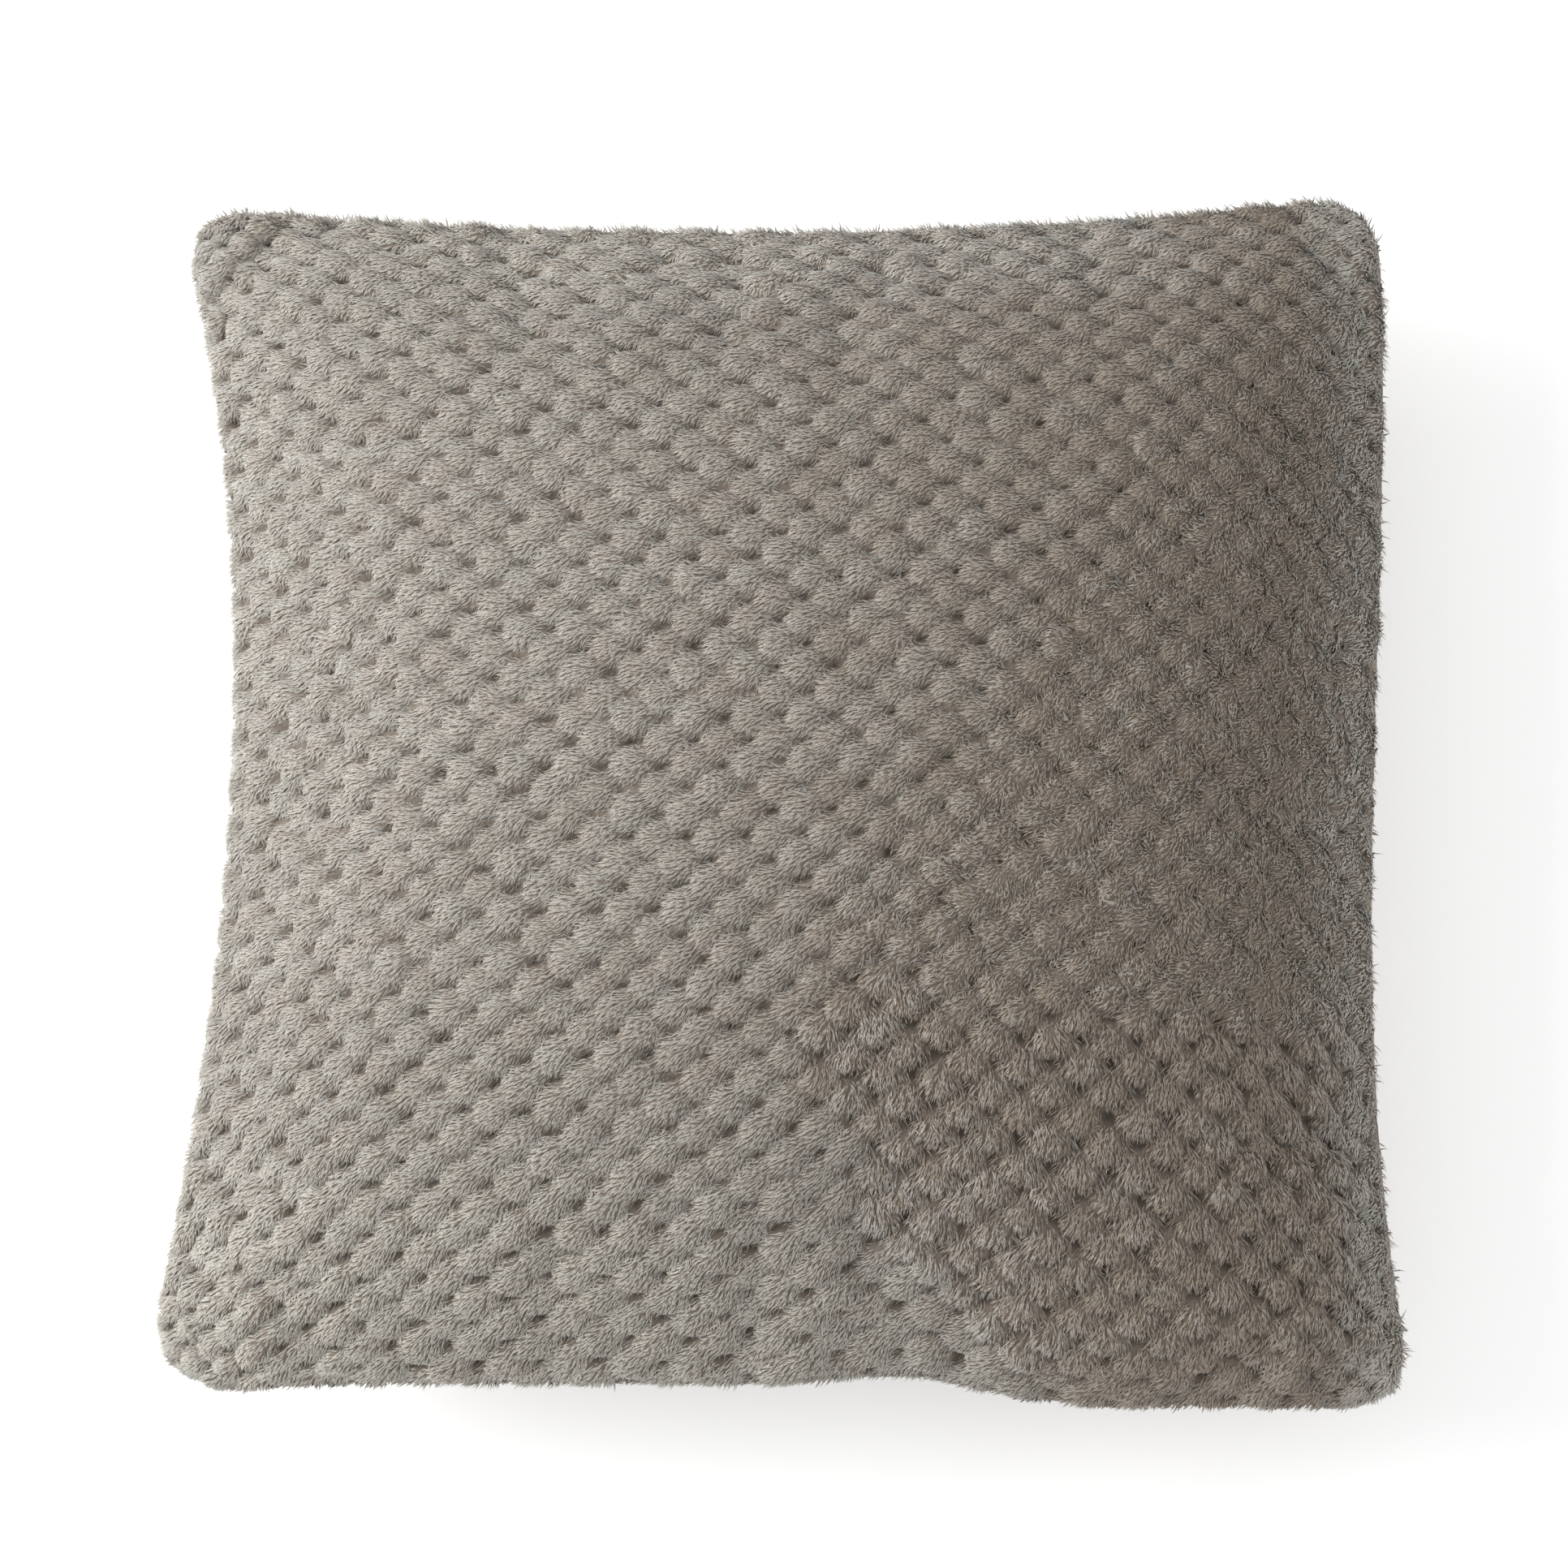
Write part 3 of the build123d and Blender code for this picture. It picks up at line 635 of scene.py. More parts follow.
def own_tuft(panel, s, t):
    """Offset of each place from the middle of its tuft, and the tuft's size and height there."""
    angle, _, hanging = comb_field(panel, s, t)
    comb_s, comb_t = np.cos(angle), np.sin(angle)
    s_even, t_even = row_place(panel, s, t)
    row_pitch = TUFT_PITCH / 2
    nearest_row = np.round(t_even / row_pitch).astype(int)
    best = [np.zeros_like(s), np.zeros_like(s), np.ones_like(s), np.full_like(s, -1.0)]
    for row in (nearest_row + step for step in range(-2, 3)):
        stagger = 0.5 * (row % 2)
        nearest_column = np.round(s_even / TUFT_WIDTH - stagger).astype(int)
        for column in (nearest_column + step for step in range(-1, 2)):
            jitter = TUFT_JITTER[row % JITTER_ROWS, column % JITTER_COLUMNS]
            shift_s, shift_t, bulk = np.moveaxis(jitter, -1, 0)
            off_s = s_even - (column + stagger) * TUFT_WIDTH - shift_s * TUFT_SHIFT_S
            off_t = t_even - row * row_pitch - shift_t * TUFT_SHIFT_T
            size = 1 + TUFT_UNEVEN * bulk
            height = dome_height(off_s, off_t, size, comb_s, comb_t, hanging)
            higher = height > best[3]
            best = [np.where(higher, new, old) for new, old in zip((off_s, off_t, size, height), best)]
    return best


def pile_height(panel, s, t):
    """Height of the pile over the cloth, whichever tuft it belongs to."""
    _, ruffled, _ = comb_field(panel, s, t)
    return np.maximum(own_tuft(panel, s, t)[3], MERGED_HEIGHT * ruffled)


def edge_fade(panel, s, t):
    """Lowers the tufts towards the seams."""
    edge = np.minimum(np.minimum(s, panel.across[-1] - s), np.minimum(t, panel.along[-1] - t))
    return smooth_step(edge, *EDGE_FADE)


def strand_roots(panel):
    """Places of one panel's strands in its cloth, in a jittered grid that leaves the pits open."""
    spacing = STRAND_SPACING[panel.side]
    places = []
    for length in (panel.across[-1], panel.along[-1]):
        count = int(length / spacing)
        places.append((np.arange(count) + 0.5) * length / count)
    s, t = (grid.ravel() + random.uniform(-0.5, 0.5, grid.size) * spacing for grid in np.meshgrid(*places))
    _, _, hanging = comb_field(panel, s, t)
    clothed = pile_height(panel, s, t) > PIT_EDGE * (1 - PIT_COVER * hanging)
    return s[clothed], t[clothed]


def lock_offset(here, beside):
    """Distance along one direction from each strand to the middle of the lock that it is part of."""
    return (np.floor(here / LOCK_SIZE + LOCK_WAVE * np.sin(beside / LOCK_SIZE)) + 0.5) * LOCK_SIZE - here


class Strands:
    """The strands on one panel: their places in its cloth, their tufts and how they are combed."""

    def __init__(self, panel):
        self.panel = panel
        self.s, self.t = s, t = strand_roots(panel)
        self.off_s, self.off_t, self.size, self.rise_here = own_tuft(panel, s, t)
        self.tuft_angle, self.ruffled, self.hanging = comb_field(panel, s, t)
        self.rim = smooth_step(np.maximum(s / panel.across[-1], t / panel.along[-1]), *RIM_ZONE)
        self.loose = np.maximum(np.maximum(self.ruffled, self.hanging), self.rim)
        self.fade = edge_fade(panel, s, t)
        self.comb()
        self.gather()

    def comb(self):
        """Direction of each strand, and its way over its tuft."""
        turn = random.normal(0, STRAND_TURN, self.s.size) * (1 + self.loose + RIM_TURN * self.rim)
        waver = STRAND_WAVER + RUFFLED_WAVER * self.ruffled + HANGING_WAVER * self.hanging
        self.angle = self.tuft_angle + turn + waver * uneven("strands", self.s, self.t)
        along_s, along_t = np.cos(self.angle), np.sin(self.angle)
        fan_s, fan_t = along_s * FAN_REACH + self.off_s, along_t * FAN_REACH + self.off_t
        longer = 1 + HANGING_LONGER * self.hanging
        length = STRAND_LENGTH * longer * random.uniform(*LENGTH_RANGE, self.s.size)
        forward = (self.off_s * along_s + self.off_t * along_t) / TUFT_REACH_T
        drawn_back = CURL_UNDER * self.hanging * smooth_step(forward, *CURL_ZONE)
        stride = STRAND_LEAN * length / np.hypot(fan_s, fan_t) * (1 - drawn_back)
        self.go_s, self.go_t = fan_s * stride, fan_t * stride

    def gather(self):
        """Locks that the strands gather in, and how far each strand stands out of the combed pile."""
        self.lock_s, self.lock_t = lock_offset(self.s, self.t), lock_offset(self.t, self.s)
        by_s, by_t, by_mark = LOCK_HASH
        mark = np.floor(self.s / LOCK_SIZE) * by_s + np.floor(self.t / LOCK_SIZE) * by_t
        self.lock_rise = self.loose * (np.sin(mark) * by_mark % 1 - 0.5)
        fluffed = 1 + LOOSE_FUZZ * self.loose + RIM_FUZZ * self.rim
        self.fuzz = random.uniform(*FUZZ_RANGE, self.s.size) * FUZZ * fluffed + self.lock_rise * LOCK_UNEVEN

    def over_tuft(self, share):
        """Offset in the cloth and height over it, after a share of the strand's way over its tuft."""
        pull = LOCK_PULL * share * (1 + self.hanging)
        way_s = self.go_s * share + self.lock_s * pull
        way_t = self.go_t * share + self.lock_t * pull
        covering = pile_height(self.panel, self.s + way_s, self.t + way_t)
        comb_s, comb_t = np.cos(self.tuft_angle), np.sin(self.tuft_angle)
        own = dome_height(self.off_s + way_s, self.off_t + way_t, self.size, comb_s, comb_t, self.hanging)
        own = np.maximum(own, self.rise_here * OWN_SUPPORT)
        up = covering + self.hanging * (np.maximum(own, covering) - covering)
        return way_s, way_t, up * self.fade + self.fuzz * share

    def root_way(self):
        """Offset of the root, which is gathered a little towards the middle of its tuft."""
        up = self.rise_here * self.fade * ROOT_LEVEL - ROOT_SUNK
        return -ROOT_GATHER * self.off_s, -ROOT_GATHER * self.off_t, up

    def slopes(self, s, t):
        """Slopes of the pile at places in the cloth."""
        here = pile_height(self.panel, s, t)
        ahead = pile_height(self.panel, s + SLOPE_STEP, t), pile_height(self.panel, s, t + SLOPE_STEP)
        slopes = ((height - here) / SLOPE_STEP * self.fade for height in ahead)
        return [np.clip(slope, -MAX_SLOPE, MAX_SLOPE)[:, None] for slope in slopes]

    def meshes(self):
        """Points, normals and faces of every strand."""
        panel, s, t = self.panel, self.s, self.t
        ways = [self.root_way(), self.over_tuft(0.5), self.over_tuft(1.0)]
        cloth = panel.sample(panel.points, s, t)
        normal = unit(panel.sample(panel.normals, s, t))
        right = unit(panel.sample(panel.points, s + MM, t) - panel.sample(panel.points, s - MM, t))
        up = np.cross(normal, right) * panel.side
        places = []
        for way in ways:
            place = cloth + sum(axis * distance[:, None] for axis, distance in zip((right, up, normal), way))
            keep_clear(place, panel.side)
            places.append(place)
        slope_s, slope_t = self.slopes(s + ways[1][0], t + ways[1][1])
        facing = unit(normal - right * slope_s - up * slope_t)
        radius = STRAND_WIDTH[panel.side] / 2 * random.uniform(*WIDTH_RANGE, s.size)
        return strand_meshes(*places, facing, radius)

    def tones(self):
        """Number of each strand's tone at its root and at its tip, counted through both hues."""
        # The tone starts from painted light and shade by the strand's place on the panel.
        tone = painted_light_tone(self.s / self.panel.across[-1], self.t / self.panel.along[-1])
        shadow = self.angle + SHADOW_TURN
        behind = -(self.off_s * np.cos(shadow) + self.off_t * np.sin(shadow)) / TUFT_REACH_T
        # Painted shadow in a crescent on each hanging tuft, and painted shade over the hanging and the
        # ruffled pile.
        crescent = HANGING_PAINTED_SHADE + CRESCENT_PAINTED_SHADOW * smooth_step(behind, *SHADOW_ZONE)
        tone -= crescent * self.hanging + RUFFLED_PAINTED_SHADE * self.ruffled
        spread = STRAND_TONES + LOOSE_TONES * self.loose
        # Random tone by strand, plus painted light and shade by the height of its lock.
        tone += spread * random.normal(0, 1, self.s.size) + LOCK_PAINTED_LIGHT * self.lock_rise
        bulk = (self.size - 1) / TUFT_UNEVEN
        tone += PATCH_TONES * uneven("tone patches", self.s, self.t) + TUFT_TONES * bulk
        # The root tone is painted darker where the pile is loose, painted shade between the locks.
        numbers = tone * TONES - LOOSE_ROOT_PAINTED_SHADE * self.loose, tone * TONES
        numbers = [np.clip(number, 0, TONES - 1).astype(int) for number in numbers]
        warmth = uneven("hue patches", self.s, self.t) + random.normal(0, WARM_SPREAD, self.s.size)
        # Painted shade: the hanging pile leans to the warm hue.
        warm = warmth + HANGING_WARM_SHADE * self.hanging > WARM_LIMIT
        return np.stack(numbers, -1) + TONES * warm[:, None]


def painted_light_tone(across, along):
    """How light the pile is painted by its place on the panel, in shares of its width and height: painted
    light and shade, darker towards the right and lighter along its edges.
    """
    tone = USUAL_TONE
    for lift, steps_across, steps_along in PAINTED_LIGHT_LIFTS:
        for value, steps in ((across, steps_across), (along, steps_along)):
            for begins, complete in steps:
                lift = lift * smooth_step(value, begins, complete)
        tone = tone + lift
    return tone


def keep_clear(place, side):
    """Keeps the pile off the surface the pillow lies on and out of the zip's slit."""
    place[:, 2] = np.maximum(place[:, 2], back_low.z + PILE_OVER_FLOOR)
    beside_zip = (np.abs(place[:, 0]) < MOUTH_END) & (place[:, 1] < tape_high.y)
    slit = np.where(place[:, 1] > slider_low.y - SLIDER_MARGIN, SLIDER_CLEAR, TAB_CLEAR)
    slit = slit * smooth_step(MOUTH_END - np.abs(place[:, 0]), 0, MOUTH_TAPER)
    away = np.maximum(np.abs(place[:, 2] - SEAM_Z), slit + STRAND_WIDTH[FRONT] / 2)
    place[:, 2] = np.where(beside_zip, SEAM_Z + side * away, place[:, 2])


def strand_meshes(root, middle, tip, facing, radius):
    """Flattened three-sided strands, tapering to the tip, whose shading follows their tuft."""
    count = len(root)
    axis = unit(tip - root)
    across = unit(np.cross(axis, facing))
    over = np.cross(across, axis)
    points = np.empty((count, STRAND_POINTS, 3))
    normals = np.empty((count, STRAND_POINTS, 3))
    for corner, (sideways, upwards) in enumerate(((1, 0), (0, 0.5), (-1, 0))):
        ring = (across * sideways + over * upwards) * radius[:, None]
        points[:, corner] = root + ring * ROOT_WIDTH
        points[:, 3 + corner] = middle + ring
        rounded = across * sideways * ROUNDING_SIDEWAYS + over * upwards * ROUNDING_UP
        normals[:, corner] = normals[:, 3 + corner] = unit(facing + rounded)
    points[:, 6] = tip
    normals[:, 6] = unit(facing + axis * ROUNDING_TIP)
    lower, upper = [[0, 1, 2]], []
    for corner in range(3):
        after = (corner + 1) % 3
        lower += [[corner, 3 + after, after], [corner, 3 + corner, 3 + after]]
        upper += [[3 + corner, 6, 3 + after]]
    return points, normals, np.array(lower + upper)


def join_strands(name, points, faces):
    """One mesh object of many strands, each with the same faces."""
    first_point = (np.arange(len(points)) * STRAND_POINTS)[:, None, None]
    return make_mesh(name, points.reshape(-1, 3), (first_point + faces[None]).reshape(-1, 3))


def make_pile(panel, name):
    """The pile of one panel, in bands small enough to keep every strand."""
    strands = Strands(panel)
    points, normals, faces = strands.meshes()
    tones = strands.tones()
    bands = math.ceil(len(points) * len(faces) / MAX_PIECE_FACES)
    upper = (np.arange(len(faces)) >= LOWER_FACES).astype(int)
    made = []
    for number, chosen in enumerate(np.array_split(np.arange(len(points)), bands)):
        piece = join_strands(f"{name}_{number + 1}", points[chosen], faces)
        shading = piece.data.attributes.new("custom_normal", "FLOAT_VECTOR", "POINT")
        shading.data.foreach_set("vector", normals[chosen].astype(np.float32).ravel())
        finish_piece(piece, "plush", *materials["pile"])
        # The lower faces take the darker copy of their tone, painted shade deep in the pile.
        slots = tones[chosen][:, upper] * 2 + upper
        piece.data.polygons.foreach_set("material_index", slots.astype(np.int32).ravel())
        made.append(piece)
    return made


# ======== Materials ========

def fill_inputs(tree, node, **values):
    """Sets inputs to values, or links them where a value is a socket; in their names, _ means a space."""
    for name, value in values.items():
        socket = node.inputs[name.replace("_", " ")]
        if isinstance(value, bpy.types.NodeSocket):
            tree.links.new(value, socket)
        else:
            socket.default_value = value


def add_node(tree, kind, properties=None, **inputs):
    """A new node with its properties and inputs set."""
    node = tree.nodes.new(kind)
    for name, value in (properties or {}).items():
        setattr(node, name, value)
    fill_inputs(tree, node, **inputs)
    return node


def new_material(name, **inputs):
    """A Principled material; returns it with its node tree and shader."""
    material = bpy.data.materials.new(name)
    material.use_nodes = True
    tree = material.node_tree
    shader = tree.nodes["Principled BSDF"]
    fill_inputs(tree, shader, **inputs)
    return material, tree, shader


def ramp(tree, value, dark_from, dark, light_from, light):
    """Colour between a dark and a light one by a value."""
    node = add_node(tree, "ShaderNodeValToRGB", Fac=value)
    for element, place, colour in zip(node.color_ramp.elements, (dark_from, light_from), (dark, light)):
        element.position, element.color = place, (*colour, 1)
    return node.outputs["Color"]


def bump(tree, height, strength, distance):
    """Shading normal of a surface with that height on it."""
    node = add_node(tree, "ShaderNodeBump", Strength=strength, Distance=distance, Height=height)
    return node.outputs["Normal"]


def pile_materials():
    """Dyed polyester strands in close tones of two hues, each with its lower half darkened by painted shade.
    """
    made = []
    for hue, stops in PILE_HUES.items():
        for tone in range(TONES):
            share = tone / (TONES - 1)
            colour = [float(np.interp(share, (0, MIDDLE_TONE, 1), channel)) for channel in zip(*stops)]
            for half, shade in STRAND_PAINTED_SHADE.items():
                shaded = (*(value * factor for value, factor in zip(colour, shade)), 1)
                name = f"pile_{hue}_{tone + 1}_{half}"
                made.append(new_material(name, Base_Color=shaded, Roughness=0.85, Sheen_Weight=0.25)[0])
    return made


def cloth_material():
    """Knitted base cloth under the pile, with painted shade that makes it darkest in the pits."""
    material, tree, shader = new_material("base_cloth", Roughness=0.9, Sheen_Weight=0.2)
    place = add_node(tree, "ShaderNodeTexCoord").outputs["Object"]
    knit = add_node(tree, "ShaderNodeTexVoronoi", Scale=900.0, Vector=place)
    depth = add_node(tree, "ShaderNodeAttribute", {"attribute_name": "depth"})
    # Painted shade: the colour runs from dark in the pits to lighter on top of the tufts.
    painted_pit_shade, top = ([value * share for value in PILE_HUES["warm"][0]] for share in CLOTH_PAINTED_SHADE)
    colour = ramp(tree, depth.outputs["Fac"], 0, painted_pit_shade, 0.75, top)
    fill_inputs(tree, shader, Base_Color=colour, Normal=bump(tree, knit.outputs["Distance"], 0.5, 0.4 * MM))
    return material


def woven_material(name, colours, yarn, roughness, sheen, turn=0.0):
    """Plain weave of yarns of that width, its crossings darker; turn lays the yarns at a slant."""
    material, tree, shader = new_material(name, Roughness=roughness, Sheen_Weight=sheen)
    place = add_node(tree, "ShaderNodeTexCoord").outputs["Object"]
    turned = add_node(tree, "ShaderNodeMapping", Rotation=(0, 0, turn), Vector=place).outputs["Vector"]
    weave = add_node(tree, "ShaderNodeMath", {"operation": "MULTIPLY"})
    waves = math.pi / (10 * yarn)
    for direction, socket in zip(("X", "Y"), weave.inputs):
        bands = {"wave_type": "BANDS", "bands_direction": direction}
        wave = add_node(tree, "ShaderNodeTexWave", bands, Scale=waves, Distortion=0.4, Vector=turned)
        tree.links.new(wave.outputs["Fac"], socket)
    slub = add_node(tree, "ShaderNodeTexNoise", Scale=220.0, Detail=4.0, Vector=turned)
    mixed = add_node(tree, "ShaderNodeMath", {"operation": "MULTIPLY_ADD"})
    tree.links.new(weave.outputs["Value"], mixed.inputs[0])
    mixed.inputs[1].default_value = 0.6
    tree.links.new(slub.outputs["Fac"], mixed.inputs[2])
    dark, light = colours
    colour = ramp(tree, mixed.outputs["Value"], 0.35, dark, 0.95, light)
    fill_inputs(tree, shader, Base_Color=colour, Normal=bump(tree, weave.outputs["Value"], 0.6, yarn * 0.4))
    return material


def grained_material(name, colours, roughness, grain, metallic=0.0, coat=0.0):
    """Cast, moulded or spun surface: fine grain in its colour, its height and its roughness."""
    material, tree, shader = new_material(name, Metallic=metallic, Coat_Weight=coat, Coat_Roughness=0.2)
    place = add_node(tree, "ShaderNodeTexCoord").outputs["Object"]
    noise = add_node(tree, "ShaderNodeTexNoise", Scale=1 / grain, Detail=5.0, Vector=place).outputs["Fac"]
    lowest, highest = roughness - 0.08, roughness + 0.08
    rough = add_node(tree, "ShaderNodeMapRange", To_Min=lowest, To_Max=highest, Value=noise)
    dark, light = colours
    colour = ramp(tree, noise, 0.35, dark, 0.65, light)
    fill_inputs(tree, shader, Base_Color=colour, Roughness=rough.outputs["Result"])
    fill_inputs(tree, shader, Normal=bump(tree, noise, 0.3, grain * 0.1))
    return material


def make_materials():
    """Materials of all pieces, by what they are used for."""
    return {
        "pile": pile_materials(),
        "cloth": cloth_material(),
        "tape": woven_material("zip_tape_weave", TAUPE, 0.35 * MM, 0.85, 0.25, turn=math.radians(45)),
        "coil": grained_material("zip_coil_polyester", TAUPE, 0.42, 0.6 * MM),
        "enamel": grained_material("slider_enamel", ENAMEL, 0.38, 1.5 * MM, coat=0.4),
        "metal": grained_material("stop_metal", STOP_METAL, 0.36, 0.4 * MM, metallic=1.0),
        "thread": grained_material("sewing_thread", THREAD, 0.7, 0.3 * MM),
        "insert_thread": grained_material("insert_thread", WHITE_THREAD, 0.7, 0.3 * MM),
        "insert": woven_material("insert_percale", PERCALE, 0.3 * MM, 0.85, 0.15),
        "fibre": grained_material("polyester_fibre", FIBRE, 0.75, 3 * MM),
    }


def finish_piece(piece, slot, *its_materials):
    """Gives a new piece its materials and the body it rides on; the slot argument is not used."""
    piece.data.materials.clear()
    for material in its_materials:
        piece.data.materials.append(material)
    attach(piece, "cushion")
    return piece


# ======== Cover ========

def make_cover_cloth(panel, name):
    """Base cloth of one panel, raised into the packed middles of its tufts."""
    s, t = (grid.ravel() for grid in panel.fabric_grid())
    height = own_tuft(panel, s, t)[3]
    rows, columns = panel.points.shape[:2]
    lift = height * PACKED_HEIGHT * edge_fade(panel, s, t)
    points = panel.points.reshape(-1, 3) + panel.normals.reshape(-1, 3) * lift[:, None]
    points[:, 2] = np.maximum(points[:, 2], back_low.z + PACKED_OVER_FLOOR)
    depth = height / TUFT_RISE
    piece = make_mesh(name, points, grid_faces(rows, columns, flip=panel.side == BACK), depth=depth)
    finish_piece(piece, "plush", materials["cloth"])
    return piece


def lip_line(side, x):
    """Where the outer edge of the allowance at the zip lies, just inside its panel's edge, along Y."""
    _, path, _ = outline(PILE_DEPTH + LIP_COVER + BACK_TUCK * (side == BACK), 2 * MM)
    bottom = path[(path[:, 1] < 0) & (np.abs(path[:, 0]) < HALF_SIDE - BLUNT_CORNER_RADIUS)]
    bottom = bottom[np.argsort(bottom[:, 0])]
    return np.interp(x, bottom[:, 0], bottom[:, 1])


def make_allowances(side, name):
    """The turned-in edges of one panel: round the sewn sides, and behind the zip."""
    low, high = sorted((side * ALLOWANCE_GAP, side * ALLOWANCE_THICKNESS))
    _, path, outward = outline(PILE_DEPTH, 4 * MM)
    chosen = beyond_zip(path)
    path = path[chosen] + (0, 0, SEAM_Z)
    wander = ALLOWANCE_WANDER * uneven("allowance edge", path[:, 0], path[:, 1])
    section = np.tile(strip_section(PILE_DEPTH - ALLOWANCE_INNER, 0.0, low, high), (len(path), 1, 1))
    inner = section[0, :, 0] < (PILE_DEPTH - ALLOWANCE_INNER) / 2
    section[:, inner, 0] += wander[:, None]
    band = sweep(f"{name}_seam_allowance", path, outward[chosen], section)

    x = np.linspace(-MOUTH_END, MOUTH_END, 180)
    low, high = sorted((0, side * ALLOWANCE_THICKNESS))
    strip = np.tile(strip_section(-ZIP_ALLOWANCE_TO, 0, low, high), (len(x), 1, 1))
    outer = strip[0, :, 0] > -ZIP_ALLOWANCE_TO / 2
    strip[:, outer, 0] += (MOUTH_Y - lip_line(side, x))[:, None]
    strip[..., 1] += side * ALLOWANCE_GAP
    for end, taper, chosen in ((MOUTH_END, MOUTH_TAPER, outer), (LINING_END, LINING_TAPER, ~outer)):
        strip[:, chosen, 1] += side * (MOUTH_HALF_HEIGHT * smooth_step(end - np.abs(x), 0, taper))[:, None]
    lining = sweep(f"{name}_zip_allowance", *straight_path(x, MOUTH_Y, SEAM_Z), strip)
    return [finish_piece(piece, "plush", materials["cloth"]) for piece in (band, lining)]


# ======== Zip ========

def winding(turns, start, roundness):
    """Phase along a thread wound in a flattened round, and its two outward directions, from that start."""
    phase = np.arange(0, turns * 2 * math.pi, WINDING_STEP)
    out = np.stack([np.cos(phase + start), np.sin(phase + start)], -1)
    return phase, out, np.sign(out) * np.abs(out) ** roundness


def make_coil(name):
    """One side of the chain: a flattened helix of monofilament round a cord."""
    node = f"zip_coil_{name}"
    low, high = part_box(node)
    middle, half = (low + high) / 2, (high - low) / 2
    turns = (2 * half.x - 2 * COIL_WIRE) / COIL_PITCH
    phase, out, flattened = winding(turns, math.pi if name == "front" else 0, COIL_ROUNDNESS)
    x = low.x + COIL_WIRE + phase / (2 * math.pi) * COIL_PITCH
    across = flattened * (half.y - COIL_WIRE, half.z - COIL_WIRE) + (middle.y, middle.z)
    outward = np.insert(out, 0, 0, axis=1)
    helix = sweep(f"{node}_helix", np.insert(across, 0, x, axis=1), outward, round_section(COIL_WIRE))
    x = np.linspace(low.x + COIL_WIRE, high.x - COIL_WIRE, 400)
    path, outward = straight_path(x, middle.y, middle.z)
    cord = sweep(f"{node}_cord", path, outward, plied_section(path, COIL_CORD))
    for piece in (helix, cord):
        finish_piece(piece, "zip_coil", materials["coil"])
        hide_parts(node)


def make_bar_tack(end):
    """Thread wound over the end of the chain, from one tape to the other."""
    node = f"zip_bar_tack_{end}"
    low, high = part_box(node)
    middle, half = (low + high) / 2, (high - low) / 2
    pitch = TACK_PITCH * THREAD_RADIUS
    phase, out, flattened = winding((2 * half.z - 2 * THREAD_RADIUS) / pitch, 0, TACK_ROUNDNESS)
    z = low.z + THREAD_RADIUS + phase / (2 * math.pi) * pitch
    across = flattened * (half.x - THREAD_RADIUS, half.y - THREAD_RADIUS) + (middle.x, middle.y)
    path, outward = np.insert(across, 2, z, axis=1), np.insert(out, 2, 0, axis=1)
    piece = sweep(f"{node}_thread", path, outward, round_section(THREAD_RADIUS * TACK_WIDTH))
    finish_piece(piece, "thread", materials["thread"])
    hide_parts(node)


# ======== Sewing ========

def through_stitches(distance, stitch, low, high):
    """Height of a thread that runs over one stitch, goes through the layers and runs under the next."""
    middle, half = (low + high) / 2, (high - low) / 2 - THREAD_RADIUS
    wave = np.tanh(STITCH_STEEPNESS * np.sin(distance * math.pi / stitch))
    return middle + half * wave / math.tanh(STITCH_STEEPNESS)


def locked_stitches(distance, stitch, run, lock):
    """Height of a lockstitch thread that runs on one face and dips to its lock after each stitch."""
    dip = np.abs(np.cos(distance * math.pi / stitch)) ** DIP_SHARPNESS
    return run + (lock - run) * dip


def make_thread(node, path, outward, height, slot, closed=False):
    """A plied thread on a plan path at the given heights, in place of its plain node."""
    path = path + height[:, None] * (0, 0, 1)
    piece = sweep(f"{node}_stitches", path, outward, plied_section(path, THREAD_RADIUS), closed)
    finish_piece(piece, slot, materials[slot])
    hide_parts(node)


def make_straight_threads():
    """Rows along the zip: through the tapes, and over the hand-closed opening of the insert."""
    rows = [("zip_stitching_front", ZIP_STITCH, "thread"), ("zip_stitching_back", ZIP_STITCH, "thread")]
    for node, stitch, slot in [*rows, ("insert_closing_thread", CLOSING_STITCH, "insert_thread")]:
        low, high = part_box(node)
        x = np.arange(low.x + THREAD_RADIUS, high.x - THREAD_RADIUS, THREAD_STEP)
        height = through_stitches(x - low.x, stitch, low.z, high.z)
        make_thread(node, *straight_path(x, (low.y + high.y) / 2, 0), height, slot)


def make_round_threads():
    """The cover's seam, which stops at the zip, and the insert's seam all the way round."""
    distance, path, outward = outline(COVER_SEAM_INSET, THREAD_STEP)
    chosen = beyond_zip(path)
    for node in ("cover_seam_needle_thread", "cover_seam_bobbin_thread"):
        low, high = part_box(node)
        run = (low.z + high.z) / 2
        lock = SEAM_Z + DIP_END * (run - SEAM_Z)
        height = locked_stitches(distance[chosen], COVER_STITCH, run, lock)
        make_thread(node, path[chosen], outward[chosen], height, "thread")
    distance, path, outward = outline(INSERT_SEAM_INSET, THREAD_STEP)
    low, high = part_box("insert_seam_thread")
    height = through_stitches(distance, INSERT_STITCH, low.z, high.z)
    make_thread("insert_seam_thread", path, outward, height, "insert_thread", closed=True)


# ======== Insert and filling ========

def puckers(kind, along_seam, waves, s, t, from_seam):
    """Gathers beside a seam, which fade out with the distance from it."""
    return np.sin(along_seam * waves + PUCKER_SWAY * uneven(kind, s, t)) * np.exp(-from_seam / PUCKER_REACH)


